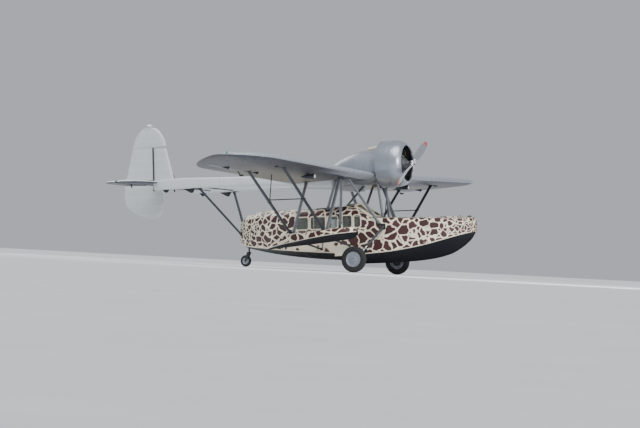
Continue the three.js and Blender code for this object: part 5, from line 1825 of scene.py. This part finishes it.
def strut_table():
    """Each port strut. Columns: name, top, foot, depth, thickness."""

    def on_float(place, side):
        x, z = place
        return (x, FLOAT_Y + side * FLOAT_FOOT_SPREAD, z)

    front, rear = FLOAT_FEET
    return [
        ("lift_strut_front", under_wing(FRONT_SPAR_X, STRUT_TOP_Y, 0.045), on_float(front, 1), 0.08, 0.04),
        ("lift_strut_rear", under_wing(REAR_SPAR_X, STRUT_TOP_Y, 0.035), on_float(rear, 1), 0.08, 0.04),
        ("float_strut_front", under_wing(FRONT_SPAR_X, 1.42, 0.045), on_float(front, -1), 0.08, 0.04),
        ("float_strut_rear", under_wing(REAR_SPAR_X, 1.42, 0.035), on_float(rear, -1), 0.08, 0.04),
        ("cabane_front", under_wing(-0.47, BOOM_Y, 0.04), (0.19, 0.636, -1.27), 0.066, 0.036),
        ("cabane_middle", under_wing(-0.62, BOOM_Y, 0.04), (-0.895, 0.636, -1.27), 0.066, 0.036),
        ("cabane_rear", under_wing(-0.8, 1.04, 0.04), (-1.3, 0.49, -0.835), 0.06, 0.034),
        ("engine_strut", (-0.005, 0.28, -0.06), (0.11, 0.22, -1.08), 0.06, 0.042),
        ("tail_strut", (-4.6, BOOM_Y, -0.08), (-3.8, 0.1, -1.39), 0.06, 0.032),
    ]


# Fitting plates where struts meet the hull. Values: share of the strut's length, way out of the hull
FOOT_PLATES = {
    "cabane_front": (0.945, (0, 1, 0.02)),
    "cabane_middle": (0.945, (0, 1, 0.02)),
    "cabane_rear": (0.975, (0, 0.4, 0.92)),
    "engine_strut": (0.97, (0, 0.05, 1)),
}


def struts():
    """Every strut with its end cuffs and bolts, the jury frame and the spreader bars."""
    for name, top, foot, deep, thick in strut_table():
        top, foot = Vector(top), Vector(foot)
        along = (foot - top).normalized()
        _, side = strut_axes(along)
        form = Form()
        form.strut(top, foot, deep, thick)
        for end, way in ((top, along), (foot, -along)):
            start = end + way * 0.05
            form.strut(start, start + way * 0.11, deep * 1.14, thick * 1.3, 0)
            for shift in (0.035, 0.08):
                for hand in (1, -1):
                    bolt = start + way * shift + side * (hand * thick * 0.66)
                    form.domed(bolt, side * hand, 0.009, 0.006, 8, 1)
        if name not in ("engine_strut", "tail_strut"):
            form.plate(under_wing(top.x, top.y, 0.0), (0, 0, -1), (1, 0, 0), deep * 2.2, thick * 2.6, 1)
        if name in FOOT_PLATES:
            share, out = FOOT_PLATES[name]
            form.plate(top.lerp(foot, share), out, along, deep * 2.4, thick * 2.4, 1)
        if (foot - top).length > 2:
            middle = top.lerp(foot, 0.5)
            form.strut(middle - along * 0.03, middle + along * 0.03, deep * 1.2, thick * 1.4, 1)
        # All struts have one paint; all but the lift and tail struts take its lighter copy, which is painted
        # light.
        enamel = "slate strut enamel" if name.startswith(("lift", "tail")) else "faded strut enamel"
        both_sides(name + "_faired", form, [enamel, "dark steel"], "strut_paint", name, sharp=40)
    jury = Form()
    front, rear = (Vector(top).lerp(Vector(foot), 0.5) for _, top, foot, _, _ in strut_table()[:2])
    top = under_wing(REAR_SPAR_X + 0.1, rear.y, 0.03)
    jury.tube([rear, top], 0.013, 12)
    jury.tube([front, rear + Vector((0.005, 0, 0.06))], 0.013, 12)
    jury.domed(rear, (0, 1, 0), 0.02, 0.03, 12, 1)
    both_sides("jury_frame_tubes", jury, ["slate strut enamel", "dark steel"], "strut_paint", "jury_frame")
    bars = Form()
    inner = FLOAT_Y - 0.2
    ends = [((x, inner, z), (x, 0.64, z - 0.19)) for x, z in ((-0.64, -1.56), (-1.4, -1.62))]
    socket = [(0.034, 0.0), (0.036, 0.04), (0.03, 0.09), (0.026, 0.1)]
    for out, root in ends:
        bars.tube([out, root], 0.024, 16)
        for end, other in ((Vector(out), Vector(root)), (Vector(root), Vector(out))):
            way = (other - end).normalized()
            bars.turned(socket, end + way * 0.01, way, 16, 1)
    bars.tube([ends[0][0], ends[1][1]], 0.015, 12)
    both_sides("spreader_tubes", bars, ["slate strut enamel", "dark steel"], "strut_paint", "spreader")


# Wheels and gear


WHEEL_COATS = ["tyre rubber", "silver sheet metal", "dark steel"]
# Columns: share of the radius, share of half the width
TYRE_WALL = [(0.56, 0.6), (0.6, 0.86), (0.7, 1.0), (0.82, 0.99), (0.9, 0.86), (0.955, 0.66)]
HUB_DISH = [
    (0.58, 0.55), (0.585, 0.72), (0.56, 0.78), (0.5, 0.6), (0.42, 0.45), (0.26, 0.5), (0.22, 0.78),
    (0.12, 0.8), (0.1, 0.6),
]
# Columns: turn, share of the radius, share of half the width, size as a share of the radius, height
HUB_BOLTS = ((0.4, 0.485, 0.56, 0.022, 0.006), (0.0, 0.34, 0.5, 0.028, 0.008))


def tyre_and_hub(form, centre, radius, width):
    """A ribbed tyre on a dished hub with bolts."""
    half = width / 2
    rib, groove = half * 0.125, half * 0.045
    wall = [(radius * r, -half * x) for r, x in TYRE_WALL]
    tread = []
    for i in range(5):
        middle = half * (0.25 * i - 0.5)
        crown = radius * (0.994 - 0.112 * (middle / half) ** 2)
        low, high = middle - rib, middle + rib
        tread += [(crown * 0.985, low + groove * 0.2), (crown, low + groove)]
        tread += [(crown, high - groove), (crown * 0.985, high - groove * 0.2)]
    profile = wall + tread + [(r, -x) for r, x in reversed(wall)]
    form.turned(profile, centre, (0, 1, 0), 72, 0, caps=False)
    for side in (1, -1):
        form.turned([(radius * r, half * x) for r, x in HUB_DISH], centre, (0, side, 0), 48, 1)
        for turn, reach, out, size, tall in HUB_BOLTS:
            for a in angles(8):
                way = Vector((math.cos(a + turn), 0, math.sin(a + turn)))
                spot = Vector(centre) + way * (radius * reach) + Vector((0, side * half * out, 0))
                form.domed(spot, (0, side, 0), radius * size, tall, 6, 2)


def wheels():
    """Main wheels and tail wheel."""
    for side, name in ((1, "wheel_left"), (-1, "wheel_right")):
        form = Form()
        tyre_and_hub(form, (HUB.x, side * HUB.y, HUB.z), 0.33, 0.13)
        piece(name + "_tyre", form, WHEEL_COATS, name, "tyre_rubber", (name,))
    form = Form()
    tyre_and_hub(form, TAIL_HUB, 0.15, 0.06)
    piece("tail_tyre", form, WHEEL_COATS, "tail_wheel", "tyre_rubber", ("tail_wheel",))


def gear():
    """Main gear legs with their shock struts and brakes, and the tail wheel's fork."""
    form = Form()
    hub = Vector((HUB.x, 1.385, HUB.z))
    form.strut((-0.26, 0.655, -1.93), hub, 0.095, 0.06, 0)
    top = Vector((0.28, 0.65, -1.31))
    along = (hub - top).normalized()
    length = (hub - top).length
    slide = top + along * (length * 0.55)
    form.tube([top, top + along * (length * 0.58)], 0.031, 20, 0)
    form.tube([slide, hub], 0.022, 20, 1)
    form.turned([(0.033, 0.0), (0.038, 0.01), (0.038, 0.04), (0.033, 0.05)], slide, along, 20, 2)
    form.turned([(0.04, -0.03), (0.05, 0.0), (0.05, 0.03), (0.04, 0.05)], top + along * 0.03, along, 20, 2)
    form.turned([(0.05, -0.055), (0.062, -0.05), (0.062, 0.04), (0.05, 0.05)], hub, (0, 1, 0), 24, 0)
    form.turned([(0.09, 0.035), (0.105, 0.04), (0.105, 0.07), (0.09, 0.075)], hub, (0, 1, 0), 36, 2)
    form.turned([(0.025, 0.0), (0.025, 0.19), (0.018, 0.192)], hub, (0, 1, 0), 20, 1)
    low_end = [hub + Vector((0.06, 0.03, 0.05)), hub + Vector((0.09, -0.08, 0.2))]
    high_end = [Vector((0.14, 1.0, -1.72)), top + Vector((0.02, 0.03, -0.04))]
    form.tube(smooth_path(low_end + high_end, 6), 0.006, 8, 2)
    form.plate((-0.26, 0.668, -1.9), (0, 1, 0), (1, 0, 0), 0.19, 0.12, 2)
    form.plate((0.28, 0.664, -1.31), (0, 1, 0), (0, 0, 1), 0.16, 0.13, 2)
    coats = ["slate strut enamel", "bright metal", "dark steel"]
    both_sides("gear_leg_detail", form, coats, "strut_paint", "gear_leg", sharp=40)
    fork = Form()
    inner, outer, eye = 0.038, 0.047, 0.028
    x, z = TAIL_HUB.x, TAIL_HUB.z
    outline = [(-3.66, -1.79), (-3.75, -1.79), (x - eye, z), (x, z - eye), (x + eye, z)]
    for side in (1, -1):
        fork.rings([[(px, y, pz) for px, pz in outline] for y in sorted((side * inner, side * outer))])
        fork.domed((x, side * outer, z), (0, side, 0), 0.016, 0.01, 6, 1)
    fork.block((-3.75, -outer, -1.802), (-3.66, outer, -1.77))
    fork.turned([(0.0215, 0.0), (0.0215, 0.225)], (-3.7, 0, -1.785), (0, 0, 1), 20, 1)
    fork.turned([(0.01, -0.05), (0.01, 0.05)], TAIL_HUB, (0, 1, 0), 12, 1)
    coats = ["slate strut enamel", "dark steel"]
    piece("tail_fork_detail", fork, coats, "tail_fork", "strut_paint", ("tail_fork",), bevel=0.002)


# Cabin fittings


def padded_leather(name, rings):
    """Puts a form of the given sections in the scene as padded leather."""
    form = Form()
    form.rings(rings)
    thing = piece(name, form, ["seat leather"], slot="seat_leather", sharp=60)


def cushion_rings(x, low, high, channels):
    """A crowned cushion 0.45 deep between two values of y, its sides drawn in between its corners."""
    crown, half = 0.05, 0.225
    us = spread(-1, 1, 15)
    rings = []
    for v in spread(-1, 1, 4 * channels + 1):
        y = (low + high) / 2 + (high - low) / 2 * v
        xs = [x + half * u * (0.97 + 0.03 * v * v) for u in us]
        rise = crown * (1 - v**6) * (0.5 + 0.5 * abs(math.sin(math.pi * channels * (v + 1) / 2)))
        top = [(px, y, -1.44 - crown + rise * (1 - u**4)) for px, u in zip(xs, us)]
        base = [(px, y, -1.56 + 0.004 * u * u) for px, u in zip(xs, us)]
        rings.append(top + base[::-1])
    return rings


def back_rings(x, low, high):
    """A leaned seat back with four channels between two values of y."""
    us = spread(0, 1, 13)
    rings = []
    for v in spread(-1, 1, 17):
        y = (low + high) / 2 + (high - low) / 2 * v
        puff = 0.035 * (1 - v**6) * (0.55 + 0.45 * abs(math.sin(2 * math.pi * (v + 1))))
        face = [(x - 0.19 - 0.08 * u + puff * (1 - (2 * u - 1) ** 6), y, -1.45 + 0.45 * u) for u in us]
        rear = [(x - 0.25 - 0.08 * u, y, -1.45 + 0.45 * u) for u in us]
        rings.append(face + rear[::-1])
    return rings


def seats():
    """The front seats and the rear bench: frames, cushions and leaned backs."""
    for name, x in (("front_seats", -0.56), ("rear_seat", -1.5)):
        base = Form()
        base.block((x - 0.2, -0.49, CABIN_FLOOR_Z + 0.002), (x + 0.2, 0.49, -1.56))
        for y in (-0.5, 0.5):
            base.tube([(x - 0.22, y, -1.55), (x - 0.3, y, -1.0), (x - 0.3, y * 0.2, -0.985)], 0.012, 10, 1)
        coats = ["cream paint", "dark steel"]
        piece(name + "_frame", base, coats, slot="seat_leather", nodes=(name,), bevel=0.004)
        for hand, low, high in (("left", 0.03, 0.51), ("right", -0.51, -0.03)):
            padded_leather(f"{name}_cushion_{hand}", cushion_rings(x, low, high, sizes().seat_channels))
            padded_leather(f"{name}_back_{hand}", back_rings(x, low, high))


def instruments():
    """The instrument panel with plain dials, and the control column with its two wheels."""
    form = Form()
    form.block((-0.11, -0.44, -1.42), (-0.082, 0.44, -1.12), 0)
    form.block((-0.108, -0.06, CABIN_FLOOR_Z + 0.002), (-0.072, 0.06, -1.4), 0)
    for y in (-0.36, -0.26, -0.16, 0.0, 0.16, 0.26, 0.36):
        for z in (-1.19, -1.33):
            radius = 0.04 if abs(y) < 0.3 else 0.032
            bezel = [(radius, 0.0), (radius, 0.008), (radius * 0.86, 0.011), (radius * 0.84, 0.004)]
            face = [(radius * 0.84, 0.0), (radius * 0.84, 0.003), (0.001, 0.0035)]
            for profile, number in ((bezel, 1), (face, 2)):
                form.turned(profile, (-0.11, y, z), (-1, 0, 0), 24, number)
            form.block((-0.1145, y - 0.0015, z), (-0.1138, y + 0.0015, z + radius * 0.7), 3)
    form.tube([(-0.09, 0, -1.33), (-0.33, 0, -1.29)], 0.016, 16, 1)
    form.tube([(-0.33, -0.22, -1.29), (-0.33, 0.22, -1.29)], 0.012, 12, 1)
    for side in (1, -1):
        ring = [(-0.335, side * 0.16 + 0.07 * math.cos(a), -1.29 + 0.07 * math.sin(a)) for a in angles(24)]
        form.tube(ring, 0.009, 8, 4, closed=True)
    coats = ["panel enamel", "dark steel", "dial face", "dial pointer", "varnished wheel"]
    piece("instrument_board", form, coats, slot="panel_paint", nodes=("instrument_panel",), sharp=40)


def glazing():
    """Gives the window panes that stay from the frame their glass."""
    for name in ("windscreen_glass", "side_glass_left", "side_glass_right"):
        node = frame["nodes"][name]
        for slot in node.material_slots:
            slot.material = finish("window glass")


# Stage


def camera():
    """The camera at the photograph's angle, from a pinhole fit to it."""
    around, up, roll = math.radians(22.53), math.radians(-2.83), math.radians(-1.6)
    distance, lens_px, width_px = 80.0, 3135.0, 640.0
    target = Vector((-1.7, 0.0, -0.88))
    back = Vector((math.sin(around) * math.cos(up), -math.cos(around) * math.cos(up), math.sin(up)))
    eye = target + back * distance
    right = Vector((0, 0, 1)).cross(back).normalized()
    rise = back.cross(right)
    turn = Matrix.Rotation(roll, 3, back)
    right, rise = turn @ right, turn @ rise
    data = bpy.data.cameras.new("photo camera")
    data.sensor_width = 36.0
    data.lens = lens_px / width_px * 36.0
    data.clip_end = 1000.0
    thing = placed("photo camera", data)
    pose = Matrix((right, rise, back)).transposed().to_4x4()
    pose.translation = eye
    thing.matrix_world = PARKED @ pose
    bpy.context.scene.camera = thing


def soft_light(name, place, aim, size, power):
    """A large soft lamp that points at a place."""
    data = bpy.data.lights.new(name, "AREA")
    data.shape = "DISK"
    data.size = size
    data.energy = power
    thing = placed(name, data)
    thing.location = place
    thing.rotation_euler = (Vector(place) - Vector(aim)).to_track_quat("Z", "Y").to_euler()


def high_sun(name, place, strength):
    """A very soft sun that shines from a place towards the origin."""
    data = bpy.data.lights.new(name, "SUN")
    data.energy = strength
    data.angle = math.radians(50)
    thing = placed(name, data)
    thing.rotation_euler = Vector(place).to_track_quat("Z", "Y").to_euler()


def floor_and_light():
    """A pale floor, an overcast sky and soft lamps."""
    mesh = bpy.data.meshes.new("floor")
    reach = 400.0
    corners = [(-reach, -reach, 0), (reach, -reach, 0), (reach, reach, 0), (-reach, reach, 0)]
    mesh.from_pydata(corners, [], [(0, 1, 2, 3)])
    floor = placed("floor", mesh)
    mesh.materials.append(finish("floor paint"))
    floor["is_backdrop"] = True
    world = bpy.data.worlds.new("overcast sky")
    world.use_nodes = True
    bpy.context.scene.world = world
    tree = world.node_tree
    sky = tree.nodes["Background"]
    sky.inputs["Color"].default_value = (0.76, 0.8, 0.86, 1)
    sky.inputs["Strength"].default_value = 0.62
    high_sun("high sun", (3, -7, 16), 2.2)
    soft_light("fill light", (-12, 6, 12), (0, 0, 1.5), 10, 900)
    soft_light("front light", (16, -12, 7), (1, 0, 1.5), 7, 1700)


# Add-on parts


class FlyingBoatColours(bpy.types.PropertyGroup):
    """Paint colours of the aircraft."""

    cream: FloatVectorProperty(
        name="Cream", description="Ground colour of hull and floats",
        default=(0.94, 0.85, 0.66), min=0, max=1, subtype="COLOR",
    )
    patch: FloatVectorProperty(
        name="Patch", description="Darker colour of the coat's patches",
        default=(0.04, 0.011, 0.012), min=0, max=1, subtype="COLOR",
    )
    patch_light: FloatVectorProperty(
        name="Faded Patch", description="Lighter colour of the coat's patches",
        default=(0.09, 0.032, 0.03), min=0, max=1, subtype="COLOR",
    )
    bottom: FloatVectorProperty(
        name="Bottom", description="Bottom paint below the chine",
        default=(0.002, 0.003, 0.007), min=0, max=1, subtype="COLOR",
    )
    silver: FloatVectorProperty(
        name="Silver", description="Doped fabric and sheet metal",
        default=(0.34, 0.365, 0.41), min=0, max=1, subtype="COLOR",
    )
    strut: FloatVectorProperty(
        name="Strut", description="Enamel of struts and gear",
        default=(0.024, 0.03, 0.043), min=0, max=1, subtype="COLOR",
    )
    # A lighter copy of the strut colour: painted light on struts that face the light.
    pale_strut: FloatVectorProperty(
        name="Pale Strut", description="Faded enamel of the struts over the hull",
        default=(0.19, 0.205, 0.23), min=0, max=1, subtype="COLOR",
    )
    # Partly real staining and partly painted shade: the wing's lower fabric is darker than its silver top.
    underside: FloatVectorProperty(
        name="Underside", description="Stained fabric under the wing",
        default=(0.21, 0.195, 0.165), min=0, max=1, subtype="COLOR",
    )
    # Painted shade: the dark colour under the leading edge and under the tail surfaces.
    underside_front: FloatVectorProperty(
        name="Underside Front", description="Darker fabric under the leading edge and the tail",
        default=(0.032, 0.038, 0.054), min=0, max=1, subtype="COLOR",
    )
    tail: FloatVectorProperty(
        name="Tail", description="Pale dope of tail and booms",
        default=(0.67, 0.7, 0.72), min=0, max=1, subtype="COLOR",
    )
    glass: FloatVectorProperty(
        name="Glass", description="Tint of the window glass",
        default=(0.7, 0.76, 0.74), min=0, max=1, subtype="COLOR",
    )
    leather: FloatVectorProperty(
        name="Leather", description="Seat leather",
        default=(0.11, 0.05, 0.025), min=0, max=1, subtype="COLOR",
    )
    signal: FloatVectorProperty(
        name="Signal Red", description="Blade tips and port lamp",
        default=(0.5, 0.03, 0.025), min=0, max=1, subtype="COLOR",
    )


class FlyingBoatSizes(bpy.types.PropertyGroup):
    """Sizes of repeated details."""

    rib_spacing: FloatProperty(
        name="Rib Spacing", description="Distance between wing ribs",
        default=0.305, min=0.15, max=0.6, unit="LENGTH",
    )
    tape_width: FloatProperty(
        name="Tape Width", description="Width of the tape over a rib",
        default=0.055, min=0.02, max=0.1, unit="LENGTH",
    )
    rivet_pitch: FloatProperty(
        name="Rivet Pitch", description="Distance between rivets",
        default=0.045, min=0.02, max=0.1, unit="LENGTH",
    )
    cylinder_fins: IntProperty(
        name="Cylinder Fins", description="Cooling fins of each barrel", default=12, min=6, max=16
    )
    seat_channels: IntProperty(
        name="Seat Channels", description="Sewn channels of a cushion", default=4, min=2, max=8
    )


class BuildHull(bpy.types.Operator):
    """Skins the hull with its windows, deck openings, rails and hatches"""

    bl_idname = "flying_boat.hull"
    bl_label = "Hull"

    def execute(self, context):
        hull_bow()
        hull_cabin()
        hull_stern()
        hull_trim()
        hatches()
        glazing()
        return {"FINISHED"}


class BuildFloats(bpy.types.Operator):
    """Skins the two wing floats"""

    bl_idname = "flying_boat.floats"
    bl_label = "Floats"

    def execute(self, context):
        floats()
        return {"FINISHED"}


class BuildWing(bpy.types.Operator):
    """Skins the wing and ailerons and adds their lamps and brackets"""

    bl_idname = "flying_boat.wing"
    bl_label = "Wing and Ailerons"

    def execute(self, context):
        wings()
        ailerons()
        return {"FINISHED"}


class BuildTail(bpy.types.Operator):
    """Skins the booms, tailplane, elevators, fin and rudder"""

    bl_idname = "flying_boat.tail"
    bl_label = "Booms and Tail"

    def execute(self, context):
        booms()
        tail()
        return {"FINISHED"}


class BuildEngine(bpy.types.Operator):
    """Builds the nacelle, cowl, radial engine and propeller"""

    bl_idname = "flying_boat.engine"
    bl_label = "Engine Group"

    def execute(self, context):
        nacelle()
        cowl()
        engine()
        propeller()
        return {"FINISHED"}


class BuildStruts(bpy.types.Operator):
    """Builds every strut with its end fittings"""

    bl_idname = "flying_boat.struts"
    bl_label = "Struts"

    def execute(self, context):
        struts()
        return {"FINISHED"}


class BuildGear(bpy.types.Operator):
    """Builds the wheels, gear legs and tail wheel fork"""

    bl_idname = "flying_boat.gear"
    bl_label = "Wheels and Gear"

    def execute(self, context):
        wheels()
        gear()
        return {"FINISHED"}


class BuildCabin(bpy.types.Operator):
    """Builds the seats, instrument panel and controls"""

    bl_idname = "flying_boat.cabin"
    bl_label = "Cabin Fittings"

    def execute(self, context):
        seats()
        instruments()
        return {"FINISHED"}


class BuildStage(bpy.types.Operator):
    """Sets up the floor, the light and the camera"""

    bl_idname = "flying_boat.stage"
    bl_label = "Stage"

    def execute(self, context):
        camera()
        floor_and_light()
        return {"FINISHED"}


BUILDERS = (
    BuildStage, BuildHull, BuildFloats, BuildWing, BuildTail, BuildEngine, BuildStruts, BuildGear, BuildCabin,
)


class FlyingBoatPanel(bpy.types.Panel):
    """Buttons for each group of pieces and the colours"""

    bl_idname = "VIEW3D_PT_flying_boat"
    bl_label = "Flying Boat"
    bl_space_type = "VIEW_3D"
    bl_region_type = "UI"
    bl_category = "Flying Boat"

    def draw(self, context):
        for settings in (context.scene.flying_boat_sizes, context.scene.flying_boat_colours):
            for name in settings.__annotations__:
                self.layout.prop(settings, name)
        for builder in BUILDERS:
            self.layout.operator(builder.bl_idname)


CLASSES = (FlyingBoatColours, FlyingBoatSizes, *BUILDERS, FlyingBoatPanel)


def register():
    """Adds the classes and the scene's settings."""
    for cls in CLASSES:
        bpy.utils.register_class(cls)
    bpy.types.Scene.flying_boat_colours = PointerProperty(type=FlyingBoatColours)
    bpy.types.Scene.flying_boat_sizes = PointerProperty(type=FlyingBoatSizes)


def unregister():
    """Takes the settings and the classes away."""
    del bpy.types.Scene.flying_boat_sizes
    del bpy.types.Scene.flying_boat_colours
    for cls in reversed(CLASSES):
        bpy.utils.unregister_class(cls)


def main():
    """Builds every group in order and measures the bounds of the frame and of the pieces."""
    register()
    for builder in BUILDERS:
        _, call = builder.bl_idname.split(".")
        getattr(bpy.ops.flying_boat, call)()
    plain = lambda corners: [[float(v) for v in corner] for corner in corners]
    {"cad": plain(CAD_BOX), "visual": plain(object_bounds())}


if __name__ == "__main__":
    main()
